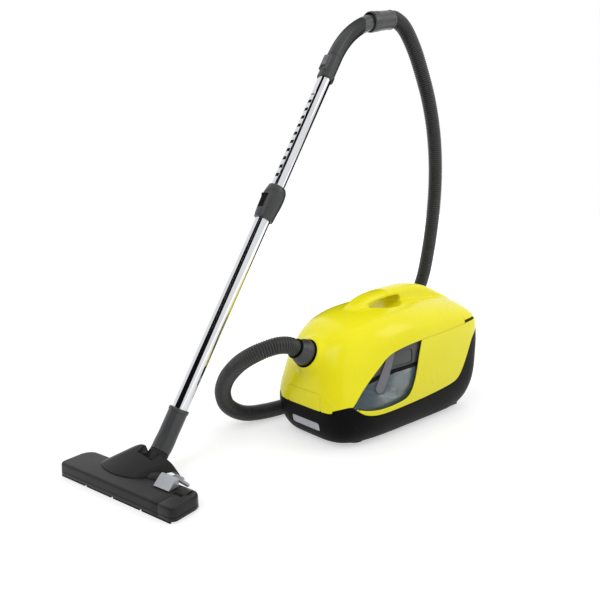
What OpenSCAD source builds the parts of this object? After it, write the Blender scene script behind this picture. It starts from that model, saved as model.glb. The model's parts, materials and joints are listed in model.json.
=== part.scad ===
// Canister vacuum cleaner with a water filter, a suction hose, a telescopic wand and a floor nozzle.
// Millimetres, Z up. The canister's front faces -Y and its centre line is x = 0 until row_frame() moves everything.

/* [Canister] */
// length of the casing, front to back
canister_length = 535; // [500:1:570]
// width of the casing
canister_width = 289; // [270:1:310]
// height of the carry handle's highest point above the floor
canister_height = 345; // [335:1:360]
// wall of the moulded casing
casing_wall = 3; // [2:0.5:4]
// gap between two casing pieces
seam = 0.8; // [0.5:0.1:1.2]

/* [Water tank] */
// room between the casing and the tank
tank_room = 5; // [4:1:8]
// wall of the clear tank
tank_wall = 2.5; // [2:0.5:3.5]

/* [Handle and lid] */
// width of the carry handle at its top
handle_width = 62; // [54:1:68]
// thickness of the carry handle over the finger gap
handle_thickness = 17; // [14:1:20]
// travel of a foot pedal
pedal_travel = 5; // [3:1:6]
// radius of the filter lid's hinge pin
lid_pin_r = 2; // [1.5:0.5:2.5]

/* [Wheels] */
// radius of a rear wheel
rear_wheel_r = 35; // [30:1:38]
// width of a rear wheel
rear_wheel_width = 18; // [14:1:20]
// radius of the rear axle rod
axle_r = 4; // [3:0.5:5]
// radius of a front castor wheel
castor_wheel_r = 14; // [12:1:15]
// radius of a castor's swivel pin
castor_pin_r = 4; // [3:0.5:5]

/* [Hose] */
// outer diameter of the suction hose
hose_diameter = 40; // [36:1:42]
// radius of the inlet bore that the hose connector turns in
inlet_r = 27; // [25:1:28]
// tilt of the inlet above the horizontal
inlet_tilt = 28; // [20:1:38]

/* [Wand] */
// outer radius of the lower tube
lower_tube_r = 17.5; // [17:0.5:18.5]
// outer radius of the upper tube
upper_tube_r = 16; // [15:0.5:16]
// free length of the lower tube, socket to collar
lower_length = 460; // [430:5:480]
// length of the upper tube that shows above the collar
upper_length = 280; // [260:5:290]
// lean of the wand above the floor
wand_tilt = 59.4; // [58:0.1:61]
// running clearance of turning and sliding round fits
running_fit = 0.05; // [0.03:0.01:0.08]

/* [Grip] */
// outer radius of the hand grip
grip_r = 19; // [18:0.5:20]
// bend radius of the hand grip
grip_bend = 235; // [215:5:250]
// slope of the hose cuff above the level
cuff_rise = 14; // [8:1:20]
// radius of the cuff between grip and hose
cuff_r = 23.5; // [23:0.5:25]
// length of the air slider
slider_length = 28; // [22:1:30]

/* [Nozzle] */
// width of the floor nozzle, across its travel
nozzle_length = 340; // [310:5:360]
// depth of the floor nozzle, along its travel
nozzle_depth = 78; // [72:1:84]
// height of the nozzle's body above the floor
nozzle_height = 30; // [28:1:34]
// turn of the nozzle away from the wand's plane
nozzle_yaw = 13; // [10:1:16]
// outer radius of the nozzle's tube socket
socket_r = 21; // [20.5:0.5:23]
// length of the nozzle's tube socket
socket_length = 66; // [58:1:74]
// travel of the brush strips
brush_travel = 4; // [3:0.5:5]

/* [Cord outlet] */
// radius of the mains cord's bore in the gland
cord_bore_r = 4; // [3.5:0.5:5]
// length of the gland
gland_length = 20; // [16:1:26]

/* [Hidden] */
$fn = 48;

// scale of the casing's drawn profiles against the stated sizes
kx = canister_width / 289;
ky = canister_length / 535;
kz = canister_height / 345;

YELLOW = [0.91, 0.86, 0.14];
BLACK = [0.10, 0.10, 0.11];
GREY = [0.25, 0.27, 0.29];
CHROME = [0.80, 0.81, 0.83];

// casing outline, one row per level: front y, rear y, half width, front and rear roundness, z at front, middle and rear
LEVELS = [
  [-228, 248, 108, 4.5, 4.5, 6, 6, 6],
  [-243, 255, 121, 4.5, 4.5, 15, 15, 15],
  [-256, 263, 134, 4.8, 5, 40, 40, 40],
  [-262, 267, 142, 4.8, 5, 75, 75, 75],
  [-264, 267.5, 144.5, 4.2, 5, 112, 112, 112],
  [-262, 267.5, 144, 3.4, 5, 152, 152, 152],
  [-258, 267, 142.5, 2.9, 5, 188, 188, 190],
  [-250, 266, 140, 2.6, 4.8, 214, 216, 222],
  [-237, 264, 135, 2.4, 4.6, 236, 242, 248],
  [-215, 262, 124, 2.3, 4.4, 256, 265, 262],
  [-182, 260, 106, 2.2, 4.2, 275, 284, 273],
  [-138, 258, 82, 2.1, 4, 291, 297, 283],
  [-88, 255, 54, 2.1, 3.6, 302, 306, 292],
  [-40, 250, 24, 2, 3, 309, 311, 299]
];

// carry handle and spine, one row per station: y, top z, half width as a share of the handle's, foot z
SPINE = [
  [-126, 292, 0.50, 280], [-104, 306, 0.74, 284], [-76, 319, 0.86, 286], [-36, 332, 0.95, 288],
  [30, 341, 1.00, 290], [99, 345, 1.06, 290], [150, 339, 1.13, 288], [190, 325, 1.22, 282],
  [224, 311, 1.32, 276], [245, 302, 1.40, 268], [258, 293, 1.46, 262]
];

// side view of the joint between the black base and the yellow casing, as y, z
BASE_EDGE = [
  [-320, 85], [-246, 86], [-226, 92], [-214, 93], [-196, 86], [-176, 81], [-97, 78], [32, 85], [125, 91],
  [146, 96], [162, 106], [176, 127], [188, 156], [198, 182], [208, 202], [222, 216], [240, 225], [320, 236]
];
// side view of the window's lower edge from its front tip, and of its upper edge
WINDOW_LOW = [
  [-224, 101], [-206, 97], [-183, 93], [-131, 89], [-95, 91], [-56, 97], [-33, 107], [-23, 125], [-14, 172], [-6, 205], [0, 232]
];
WINDOW_HIGH = [[-224, 101], [-205, 134], [-186, 163], [-160, 187], [-135, 203], [-100, 220], [-50, 229], [0, 232]];
// side view of the joint between the hood and the side panels
SIDE_SEAM = [[0, 232], [86, 237], [232, 250], [320, 256]];

// hose route: round points, millimetres, from just after the connector to just before the cuff
HOSE_ROUTE = [
  [-6, -340, 246], [-26, -374, 234], [-60, -394, 210], [-100, -396, 178], [-140, -387, 143], [-174, -372, 100],
  [-190, -346, 57], [-186, -300, 28], [-175, -235, 21], [-171, -145, 21], [-177, -40, 24], [-186, 55, 34],
  [-190, 141, 58], [-186, 219, 99], [-170, 280, 160], [-142, 321, 235], [-118, 340, 320], [-102, 343, 407],
  [-90, 342, 495], [-81, 337, 584], [-75, 326, 672], [-73, 308, 760], [-74, 280, 845], [-76, 240, 925],
  [-76, 205, 976], [-76, 165, 1015]
];
HOSE_SIDES = 10;

// where the wand's axis meets the nozzle's neck
bend = [-76, -593, 60];
inlet = [0, -250 * ky, 212 * kz];
inlet_out = [0, -cos(inlet_tilt), sin(inlet_tilt)];
connector_length = 46;

// distances along the wand from the bend
tube_start = 34;
socket_depth = socket_length - 16;
collar_start = tube_start + socket_depth + lower_length;
collar_length = 92;
grip_start = collar_start + collar_length + upper_length;
upper_tube_grip = 34;
grip_straight = 62;
bend_up = grip_start + grip_straight;
lower_tube_end = collar_start + 52;
upper_tube_start = collar_start - 90;
upper_tube_end = grip_start + upper_tube_grip;
wand_travel = upper_length - 14;
tube_wall = lower_tube_r - upper_tube_r - running_fit;
grip_wall = 3.2;

// end of the bent grip; the cuff turns about cuff_out there and reaches back over the bend
cuff_out = [0, cos(cuff_rise), sin(cuff_rise)];
grip_end = bend + [0,
  bend_up * cos(wand_tilt) + grip_bend * (sin(wand_tilt) - sin(cuff_rise)),
  bend_up * sin(wand_tilt) + grip_bend * (cos(cuff_rise) - cos(wand_tilt))];
cuff_length = 58;
cuff_skirt = 24;
hose_end = grip_end + cuff_length * cuff_out;
hose_start = inlet + (connector_length + 0.2) * inlet_out;

// nozzle: its own origin is on the floor under its centre, +Y towards the wand
neck_back = 95;
nozzle_origin = [bend[0] + neck_back * sin(nozzle_yaw), bend[1] - neck_back * cos(nozzle_yaw), 0];
tilt_axis = [0, 66, 32];
neck_fall = atan2(bend[2] - tilt_axis[2], neck_back - tilt_axis[1]);
neck_reach = norm([bend[2] - tilt_axis[2], neck_back - tilt_axis[1]]);
nozzle_corner = 14;

// the row frame: floor point under the middle of everything but the hose
reach_x = (nozzle_length / 2 - nozzle_corner) * cos(nozzle_yaw) + (nozzle_depth / 2 - nozzle_corner) * sin(nozzle_yaw) + nozzle_corner;
reach_y = (nozzle_length / 2 - nozzle_corner) * sin(nozzle_yaw) + (nozzle_depth / 2 - nozzle_corner) * cos(nozzle_yaw) + nozzle_corner;
low_x = nozzle_origin[0] - reach_x;
high_x = canister_width / 2;
low_y = nozzle_origin[1] - reach_y;
high_y = canister_length / 2;
row_shift = [-(low_x + high_x) / 2, -(low_y + high_y) / 2, 0];

module row_frame() { translate(row_shift) children(); }

// hands a faceted assembly over as one mesh
module one_mesh() { resize([0, 0, 0]) children(); }

function power(v, e) = sign(v) * pow(abs(v), e);
function flat(l) = [for (a = l) for (b = a) b];
function middle(l) = [for (i = [0:2]) let (s = [for (p = l) p[i]]) (min(s) + max(s)) / 2];

// closed skin over rings of equal length, stacked along the direction from which they run anticlockwise
module skin(rings) {
  m = len(rings);
  n = len(rings[0]);
  points = concat(flat(rings), [middle(rings[0]), middle(rings[m - 1])]);
  faces = concat(
    [for (k = [0:m - 2]) for (i = [0:n - 1]) [k * n + i, (k + 1) * n + i, (k + 1) * n + (i + 1) % n]],
    [for (k = [0:m - 2]) for (i = [0:n - 1]) [k * n + i, (k + 1) * n + (i + 1) % n, k * n + (i + 1) % n]],
    [for (i = [0:n - 1]) [m * n, i, (i + 1) % n]],
    [for (i = [0:n - 1]) [m * n + 1, (m - 1) * n + (i + 1) % n, (m - 1) * n + i]]
  );
  polyhedron(points, faces, convexity = 6);
}

function level_point(r, t, inset, lift) =
  let (s = sin(t), n = s < 0 ? r[3] : r[4], a = power(s, 2 / n), mid = (r[0] + r[1]) / 2, half = (r[1] - r[0]) / 2)
  [(r[2] * kx - inset) * power(cos(t), 2 / n), mid * ky + (half * ky - inset) * a,
   (r[6] + (r[7] - r[5]) / 2 * a + ((r[7] + r[5]) / 2 - r[6]) * a * a) * kz + lift];

// the casing's outer shape, or the same shape drawn in all round
module casing(inset = 0, points = 36) {
  last = len(LEVELS) - 1;
  skin([for (k = [0:last]) [for (i = [0:points - 1]) level_point(LEVELS[k], i * 360 / points, inset, inset * (1 - 2 * k / last))]]);
}

module spine() {
  skin([for (s = SPINE) [for (i = [0:12]) let (a = i * 15)
    [-s[2] * handle_width / 2 * power(cos(a), 0.8), s[0] * ky, (s[3] + (s[1] - s[3]) * pow(sin(a), 0.75)) * kz]]]);
}

function placed(profile) = [for (p = profile) [p[0] * ky, p[1] * kz]];
function reversed(l) = [for (i = [len(l) - 1:-1:0]) l[i]];
function lifted(profile, d) = [for (p = profile) [p[0], p[1] + d]];

// a side profile of y, z points carried across the machine
module across(profile, width = 400, from = 0) {
  translate([from, 0, 0]) rotate([90, 0, 90]) linear_extrude(width, center = from == 0) polygon(placed(profile));
}

module finger_hollow(grow = 0) {
  translate([0, -12 * ky, 314 * kz]) scale([66 * kx + grow, 66 * ky + grow, 27 * kz + grow]) sphere(1, $fn = 28);
}
module handle_bar() {
  across(concat([for (s = [for (i = [0:6]) SPINE[i]]) [s[0], s[1] - handle_thickness]], [[150, 400], [-140, 400]]));
}
// the right pedal's share of the casing
module pedal_zone(grow, floor_gap) {
  front = 190 - grow;
  across([[front, 246.3 + floor_gap], [232, 250 + floor_gap], [320, 256 + floor_gap], [320, 400], [front, 400]], 200, 44 * kx - grow);
}
// the filter lid's share, between the pedals
module lid_zone(grow, drop = 0) {
  translate([-44 * kx + seam - grow, 185 * ky + seam - grow, 253.2 * kz - drop]) cube([88 * kx - 2 * seam + 2 * grow, 200, 150]);
}
module flap_zone(grow) {
  translate([-55 * kx - grow, -330, 60]) cube([110 * kx + 2 * grow, 120, (129 - 60) * kz + grow]);
}

HOOD_PROFILE = concat(lifted([for (i = [0:2]) BASE_EDGE[i]], 0.8), WINDOW_HIGH, [SIDE_SEAM[1], SIDE_SEAM[2], SIDE_SEAM[3]], [[320, 400], [-320, 400]]);
PANEL_PROFILE = concat(lifted([for (i = [3:len(BASE_EDGE) - 1]) BASE_EDGE[i]], 0.8), lifted(reversed(SIDE_SEAM), -0.8), reversed([for (i = [2:9]) WINDOW_LOW[i]]));
BASE_PROFILE = concat([[-320, -10]], BASE_EDGE, [[320, -10]]);

module hood_solid() {
  difference() {
    union() {
      casing();
      spine();
      translate(inlet) rotate([90 - inlet_tilt, 0, 0]) translate([0, 0, -40]) cylinder(h = 46, r1 = inlet_r + 22, r2 = inlet_r + 12, $fn = 36);
    }
    difference() { finger_hollow(); handle_bar(); }
  }
}

module hood() color(YELLOW) row_frame() one_mesh() difference() {
  intersection() { hood_solid(); across(HOOD_PROFILE); }
  difference() { casing(casing_wall); finger_hollow(casing_wall); }
  flap_zone(seam);
  pedal_zone(seam, -6);
  mirror([1, 0, 0]) pedal_zone(seam, -6);
  lid_zone(seam, 6);
  translate(inlet) rotate([90 - inlet_tilt, 0, 0]) cylinder(h = 120, r = inlet_r + 7.4, center = true, $fn = 48);
}

module front_flap() color(YELLOW) row_frame() one_mesh() intersection() {
  difference() { casing(); casing(casing_wall); }
  across(HOOD_PROFILE);
  flap_zone(0);
}

// black base with the upswept rear, the wheel wells cut out of it
module base() color(BLACK) row_frame() one_mesh() difference() {
  intersection() { casing(); across(BASE_PROFILE); }
  intersection() { casing(casing_wall + 0.5); translate([0, 0, 12 + 200]) cube([400, 700, 400], center = true); }
  translate([0, canister_length / 2, 133 * kz]) cube([184 * kx, 40, 128 * kz], center = true);
  translate([0, canister_length / 2, cord_height]) rotate([90, 0, 0]) cylinder(h = 40, r = gland_r + 0.3, center = true, $fn = 24);
  for (s = [-1, 1]) {
    translate([s * castor_x, castor_y, 0]) cylinder(h = 60, r = castor_well + 0.4, center = true, $fn = 32);
    translate([s * rear_wheel_x, axle_y, 0]) cube([rear_wheel_width + 9.6, 2 * rear_wheel_r + 13.6, 60], center = true);
  }
  translate([-45 * kx - 0.3, -canister_length / 2 - 10, 36]) cube([92 * kx + 0.6, 30, 20.6]);
}

castor_x = 76 * kx;
castor_y = -176 * ky;
castor_well = castor_wheel_r + 14;
axle_y = 176 * ky;
rear_wheel_x = 92 * kx;
cord_height = 58;
gland_r = cord_bore_r + 4;

// inner cups that the wheels stand in, and the ribs that carry the tank
module base_wells() color(BLACK) row_frame() {
  for (y = [-130, 10]) translate([-100 * kx, y * ky - 2, 12]) cube([200 * kx, 4, 56 * kz - 12]);
  for (s = [-1, 1]) {
    translate([s * castor_x, castor_y, 7]) difference() {
      cylinder(h = 36, r = castor_well);
      translate([0, 0, -1]) cylinder(h = 34, r = castor_well - 2.5);
      cylinder(h = 60, r = castor_pin_r + 1);
    }
    translate([s * rear_wheel_x, axle_y, 7]) difference() {
      translate([-rear_wheel_width / 2 - 4.5, -rear_wheel_r - 6.5, 0]) cube([rear_wheel_width + 9, 2 * rear_wheel_r + 13, 2 * rear_wheel_r + 4]);
      translate([-rear_wheel_width / 2 - 2, -rear_wheel_r - 4, -1]) cube([rear_wheel_width + 4, 2 * rear_wheel_r + 8, 2 * rear_wheel_r + 2]);
      translate([0, 0, rear_wheel_r - 7]) rotate([0, 90, 0]) cylinder(h = 60, r = axle_r + 0.3, center = true);
    }
  }
}

module side_panels() color(YELLOW) row_frame() one_mesh() difference() {
  intersection() { casing(); across(PANEL_PROFILE); }
  casing(casing_wall);
}

module front_plate() color([0.72, 0.73, 0.75]) row_frame()
  translate([-45 * kx, -canister_length / 2 + 11.5, 36.3]) difference() {
    cube([92 * kx, 6, 20]);
    translate([4, -1, 4]) cube([92 * kx - 8, 4, 12]);
  }

module lid_knuckle(r, h) translate([0, lid_axis[0], lid_axis[1]]) rotate([0, 90, 0]) cylinder(h = h, r = r, center = true, $fn = 24);
module filter_lid() color(YELLOW) row_frame() one_mesh() difference() {
  union() {
    difference() {
      intersection() { union() { casing(); spine(); } lid_zone(0); }
      difference() {
        union() { casing(casing_wall); translate([0, 0, -casing_wall]) spine(); }
        translate([-100, 254 * ky, 0]) cube([200, 60, 400]);
      }
    }
    lid_knuckle(lid_pin_r + 2.2, 60);
  }
  lid_knuckle(lid_pin_r + 0.35, 100);
  translate([-9.6, lid_axis[0] - 12, 200]) cube([19.2, 40, lid_axis[1] - 200 + lid_pin_r + 3]);
}
lid_axis = [257 * ky, 258.5 * kz];

// pin of the lid's hinge on its bracket
module lid_pin() color(GREY) row_frame() {
  translate([0, lid_axis[0], lid_axis[1]]) rotate([0, 90, 0]) cylinder(h = 62, r = lid_pin_r, center = true);
  translate([-9, lid_axis[0] - 7, shelf_top]) cube([18, 9, lid_axis[1] - shelf_top + lid_pin_r]);
}

module pedal() {
  difference() {
    intersection() { casing(); pedal_zone(0, pedal_travel + 1.5); }
    casing(casing_wall);
  }
  translate([88 * kx, 222 * ky, shelf_top + pedal_travel + 2]) cylinder(h = 273 * kz - shelf_top - pedal_travel - 2, r = 4, $fn = 24);
}
module power_pedal() color(YELLOW) row_frame() one_mesh() pedal();
module rewind_pedal() color(YELLOW) row_frame() one_mesh() mirror([1, 0, 0]) pedal();

// switch and rewind brake under the two pedals
module switch_blocks() color(GREY) row_frame() for (s = [-1, 1]) translate([s * 88 * kx, 222 * ky, shelf_top]) difference() {
  translate([-13, -14, 0]) cube([26, 28, 20]);
  translate([0, 0, 1]) cylinder(h = 60, r = 4.4);
}

// shelf across the rear for the exhaust filter, the switches and the lid's bracket
shelf_top = 231 * kz;
module rear_shelf() color(GREY) row_frame() one_mesh() intersection() {
  casing(casing_wall + 0.2);
  translate([-200, 187 * ky, shelf_top - 3]) cube([400, 200, 3]);
}

// louvres in the rear of the base
module rear_grille() color(BLACK) row_frame() translate([-92 * kx + 0.3, canister_length / 2 - 10, 69 * kz + 0.3]) {
  w = 184 * kx - 0.6;
  h = 128 * kz - 0.6;
  difference() {
    cube([w, 8, h]);
    translate([5, -1, 5]) cube([w - 10, 10, h - 10]);
  }
  for (i = [0:10]) translate([0, 1, 5 + (h - 13) * i / 10]) cube([w, 6, 3]);
  translate([w / 2 - 3, 1, 0]) cube([6, 6, h]);
}

module cord_gland() color(BLACK) row_frame() translate([0, canister_length / 2 - gland_length, cord_height]) rotate([-90, 0, 0]) difference() {
  union() {
    cylinder(h = gland_length, r = gland_r);
    cylinder(h = 4, r = gland_r + 3);
  }
  translate([0, 0, -1]) cylinder(h = gland_length + 2, r = cord_bore_r);
}

TANK_PROFILE = [[-212, 56], [44, 56], [44, 160], [-250, 160], [-250, 100]];
module water_tank() color([0.62, 0.74, 0.80, 0.45]) row_frame() one_mesh() difference() {
  intersection() { casing(casing_wall + tank_room); across(TANK_PROFILE); }
  intersection() {
    casing(casing_wall + tank_room + tank_wall);
    across([for (p = TANK_PROFILE) [p[0] + (p[0] > 0 ? -tank_wall : tank_wall), p[1] + (p[1] < 60 ? tank_wall : p[1] > 150 ? 10 : 0)]]);
  }
}
module tank_lid() color(GREY) row_frame() one_mesh() difference() {
  intersection() {
    casing(casing_wall + tank_room);
    across([[-236, 160.4], [44, 160.4], [44, 231], [-30, 231], [-120, 219], [-214, 190], [-236, 176]]);
  }
  // hollow underneath, with a ledge for the filter
  difference() {
    intersection() { casing(casing_wall + tank_room + 4); across([[-230, 150], [40, 150], [40, 227], [-30, 227], [-119, 215], [-212, 186], [-230, 174]]); }
    translate([-200, -300, 174 * kz]) cube([400, 600, 4 * kz]);
  }
  translate([-58 * kx, -60 * ky + 14, 160]) cube([116 * kx, 62, 30]);
  translate(inlet) rotate([90 - inlet_tilt, 0, 0]) cylinder(h = 110, r = inlet_r + 8, center = true, $fn = 36);
}

// levers that clip the lid to the tank, one a side, leaning forward
module tank_clips() color([0.36, 0.38, 0.40]) row_frame() one_mesh() intersection() {
  difference() { casing(casing_wall + 1.8); casing(casing_wall + tank_room); }
  across([[-105, 217], [-89, 217], [-131, 138], [-139, 126], [-154, 123], [-160, 132], [-152, 143]]);
}

module filter_frame() color([0.85, 0.42, 0.10]) row_frame() translate([-70 * kx, -60 * ky, 178 * kz]) difference() {
  cube([140 * kx, 90, 22]);
  translate([8, 8, -1]) cube([140 * kx - 16, 74, 24]);
}
module filter_pleats() color([0.93, 0.93, 0.90]) row_frame() translate([-70 * kx + 8.2, -60 * ky + 8.2, 180 * kz]) {
  n = 12;
  pitch = (140 * kx - 16.4) / n;
  for (i = [0:n - 1]) translate([i * pitch, 0, 0]) rotate([-90, 0, 0]) linear_extrude(73.6) polygon([[0, 0], [pitch, 0], [pitch, -2], [pitch / 2, -16], [0, -2]]);
}

motor_at = [0, 116 * ky, 66];
module motor_can() color([0.42, 0.43, 0.45]) row_frame() translate(motor_at) difference() {
  union() {
    cylinder(h = 96, r = 54);
    cylinder(h = 6, r = 60);
    translate([0, 0, 90]) cylinder(h = 12, r = 16);
    translate([0, 0, 12 - motor_at[2]]) cylinder(h = motor_at[2] - 8, r = 22);
  }
  translate([0, 0, 62]) cylinder(h = 28, r = 50);
  translate([0, 0, 20]) cylinder(h = 100, r = 4 + running_fit);
  for (i = [0:7]) rotate([0, 0, i * 45]) translate([30, 0, 80]) cylinder(h = 30, r = 6);
}
module fan() color(CHROME) row_frame() translate(motor_at) {
  translate([0, 0, 30]) cylinder(h = 76, r = 4);
  difference() {
    translate([0, 0, 66]) cylinder(h = 20, r = 46);
    for (i = [0:11]) rotate([0, 0, i * 30]) translate([16, -2, 69]) cube([40, 4, 14]);
  }
}
reel_at = [0, 222 * ky, 134 * kz];
module cord_reel() color(GREY) row_frame() translate(reel_at) rotate([-90, 0, 0]) difference() {
  union() {
    translate([0, 0, -19]) cylinder(h = 3, r = 56);
    translate([0, 0, 16]) cylinder(h = 3, r = 56);
    translate([0, 0, -19]) cylinder(h = 38, r = 26);
    translate([0, 0, -16]) cylinder(h = 32, r = 48);
  }
  cylinder(h = 60, r = 6 + running_fit, center = true);
}
module reel_spindle() color(CHROME) row_frame() translate(reel_at) rotate([-90, 0, 0]) {
  translate([0, 0, -23]) cylinder(h = 46, r = 6);
  translate([-14, -12, -25.5]) cube([28, reel_at[2], 4]);
}
module exhaust_filter() color([0.12, 0.12, 0.13]) row_frame() translate([-38, 190 * ky, shelf_top]) difference() {
  cube([76, 56 * ky, 24]);
  for (i = [0:8]) translate([5 + i * 7.5, 5, 14]) cube([5, 56 * ky - 10, 20]);
}

// front castors: socket in the base, fork, wheel
module castor_sockets() color(GREY) row_frame() for (s = [-1, 1]) translate([s * castor_x, castor_y, 43]) difference() {
  cylinder(h = 11, r = castor_pin_r + 5);
  translate([0, 0, -1]) cylinder(h = 20, r = castor_pin_r + running_fit);
}
castor_trail = 8;
module castor(side) translate([side * castor_x, castor_y, 0]) {
  translate([0, 0, 37]) cylinder(h = 16, r = castor_pin_r);
  translate([0, 0, 33]) cylinder(h = 5, r = 15);
  for (s = [-1, 1]) translate([s * 9.5, castor_trail, castor_wheel_r]) difference() {
    union() {
      rotate([0, 90, 0]) cylinder(h = 3, r = 6, center = true);
      translate([-1.5, -6, 0]) cube([3, 12, 34 - castor_wheel_r]);
    }
    rotate([0, 90, 0]) cylinder(h = 10, r = 2 + running_fit, center = true);
  }
}
module castor_wheel(side) translate([side * castor_x, castor_y + castor_trail, castor_wheel_r]) rotate([0, 90, 0]) {
  cylinder(h = 14, r = castor_wheel_r, center = true);
  cylinder(h = 22, r = 2, center = true);
}
module castor_left() color(BLACK) row_frame() castor(-1);
module castor_right() color(BLACK) row_frame() castor(1);
module castor_wheel_left() color(GREY) row_frame() castor_wheel(-1);
module castor_wheel_right() color(GREY) row_frame() castor_wheel(1);

module rear_axle() color(CHROME) row_frame() translate([0, axle_y, rear_wheel_r]) rotate([0, 90, 0]) cylinder(h = 2 * rear_wheel_x + rear_wheel_width + 12, r = axle_r, center = true);
module rear_wheel(side) translate([side * rear_wheel_x, axle_y, rear_wheel_r]) rotate([0, 90, 0]) difference() {
  union() {
    cylinder(h = rear_wheel_width, r = rear_wheel_r - 2, center = true);
    cylinder(h = rear_wheel_width - 4, r = rear_wheel_r, center = true);
  }
  cylinder(h = 60, r = axle_r + running_fit, center = true);
}
module rear_wheel_left() color(GREY) row_frame() rear_wheel(-1);
module rear_wheel_right() color(GREY) row_frame() rear_wheel(1);

// the inlet in the hood and the turning connector at the hose's end
module at_inlet() translate(inlet) rotate([90 - inlet_tilt, 0, 0]) children();
module inlet_collar() color(BLACK) row_frame() at_inlet() difference() {
  translate([0, 0, -24]) cylinder(h = 31, r = inlet_r + 7);
  translate([0, 0, -25]) cylinder(h = 40, r = inlet_r + running_fit);
}
module hose_connector() color(GREY) row_frame() at_inlet() difference() {
  union() {
    translate([0, 0, -20]) cylinder(h = 28, r = inlet_r);
    translate([0, 0, 7.5]) cylinder(h = 8, r1 = inlet_r + 3, r2 = inlet_r + 4);
    translate([0, 0, 15.5]) cylinder(h = connector_length - 19.5, r1 = inlet_r + 4, r2 = hose_diameter / 2 + 2.5);
    translate([0, 0, connector_length - 4]) cylinder(h = 4, r = hose_diameter / 2 + 3);
  }
  translate([0, 0, -30]) cylinder(h = connector_length + 40, r = 17.5);
}

// suction hose: rings of one polygon carried along the route
function between(a, b, c, d, t) = 0.5 * (2 * b + (c - a) * t + (2 * a - 5 * b + 4 * c - d) * t * t + (3 * b - 3 * c + d - a) * t * t * t);
function unit(v) = v / norm(v);
HOSE_POINTS = concat([hose_start - 20 * inlet_out, hose_start, hose_start + 20 * inlet_out], HOSE_ROUTE, [hose_end + 20 * cuff_out, hose_end, hose_end - 20 * cuff_out]);
HOSE_STEPS = [for (i = [1:len(HOSE_POINTS) - 3]) for (t = [0, 0.5]) between(HOSE_POINTS[i - 1], HOSE_POINTS[i], HOSE_POINTS[i + 1], HOSE_POINTS[i + 2], t)];
HOSE_PATH = concat(HOSE_STEPS, [hose_end]);
function heading(i) = i == 0 ? inlet_out : i == len(HOSE_PATH) - 1 ? -cuff_out : unit(HOSE_PATH[i + 1] - HOSE_PATH[i - 1]);
function side_of(n, t) = unit(n - (n * t) * t);
function sides(i, n) = i == len(HOSE_PATH) ? [] : let (m = side_of(n, heading(i))) concat([m], sides(i + 1, m));
module hose() color([0.13, 0.13, 0.13]) row_frame() {
  across_ring = sides(0, [1, 0, 0]);
  skin([for (i = [0:len(HOSE_PATH) - 1]) let (u = across_ring[i], v = cross(heading(i), u))
    [for (j = [0:HOSE_SIDES - 1]) HOSE_PATH[i] + hose_diameter / 2 * (cos(j * 360 / HOSE_SIDES) * u + sin(j * 360 / HOSE_SIDES) * v)]]);
}

// hose cuff: the grip's spigot turns in it, its skirt covers the end of the bend
module at_cuff() translate(grip_end) rotate([cuff_rise - 90, 0, 0]) children();
module hose_cuff() color(BLACK) row_frame() at_cuff() difference() {
  union() {
    translate([0, 0, -cuff_skirt]) cylinder(h = 10, r1 = cuff_r, r2 = cuff_r + 1.5);
    translate([0, 0, 10 - cuff_skirt]) cylinder(h = 22, r = cuff_r + 1.5);
    translate([0, 0, 32 - cuff_skirt]) cylinder(h = cuff_length + cuff_skirt - 32, r = cuff_r);
  }
  translate([0, 0, -cuff_skirt - 1]) cylinder(h = cuff_skirt + 1.4, r = cuff_r - 1.8);
  translate([0, 0, 0.3]) cylinder(h = 24, r = grip_r - 1.5 + running_fit);
  translate([0, 0, 20]) cylinder(h = cuff_length, r = 15);
}

module on_wand(t = 0) translate(bend) rotate([wand_tilt - 90, 0, 0]) translate([0, 0, t]) children();

// hand grip: tube socket and straight part with the slider's seat
slider_seat = 14;
module grip() color(GREY) row_frame() on_wand(grip_start) difference() {
  union() {
    cylinder(h = 12, r = grip_r + 1.5);
    cylinder(h = grip_straight, r = grip_r);
    translate([-11, -grip_r - 3, slider_seat]) cube([22, 14, slider_length + 16]);
  }
  translate([0, 0, -1]) cylinder(h = upper_tube_grip + 2, r = upper_tube_r + 0.02);
  cylinder(h = grip_straight + 1, r = grip_r - grip_wall);
  translate([-8.2, -grip_r - 4, slider_seat + 3]) cube([16.4, 3.5, slider_length + 10]);
  translate([-4, -grip_r - 4, upper_tube_grip + 3]) cube([8, 12, 14]);
}
// bent part of the grip, with the spigot that the cuff turns on
module grip_bow() color(GREY) row_frame() translate(grip_end + grip_bend * [0, sin(cuff_rise), -cos(cuff_rise)])
  rotate([0, -90, 180]) rotate([0, 0, cuff_rise]) difference() {
    union() {
      rotate_extrude(angle = wand_tilt - cuff_rise) translate([grip_bend, 0]) circle(grip_r);
      translate([grip_bend, 0, 0]) rotate([90, 0, 0]) cylinder(h = 22, r = grip_r - 1.5);
    }
    rotate_extrude(angle = wand_tilt) translate([grip_bend, 0]) circle(grip_r - grip_wall);
    translate([grip_bend, 0, 0]) rotate([90, 0, 0]) translate([0, 0, -1]) cylinder(h = 24, r = grip_r - grip_wall - 0.5);
  }

module air_slider() color([0.50, 0.52, 0.54]) row_frame() on_wand(grip_start + slider_seat + 12.7) translate([-8, -grip_r - 4.6, 0]) {
  translate([0, 1.4, 0]) cube([16, 2.5, slider_length]);
  for (i = [0:2]) translate([2, 0, slider_length / 2 - 5 + i * 4]) cube([12, 2, 2]);
}

// locking notches run along the upper tube's front
module upper_tube() color(CHROME) row_frame() on_wand() difference() {
  translate([0, 0, upper_tube_start]) cylinder(h = upper_tube_end - upper_tube_start, r = upper_tube_r);
  translate([0, 0, upper_tube_start - 1]) cylinder(h = upper_tube_end, r = upper_tube_r - 1.2);
  for (i = [0:10]) translate([0, -upper_tube_r + 0.35, collar_start + collar_length + 6 + i * 22]) translate([-4, -3, 0]) cube([8, 3, 6]);
}

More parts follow.
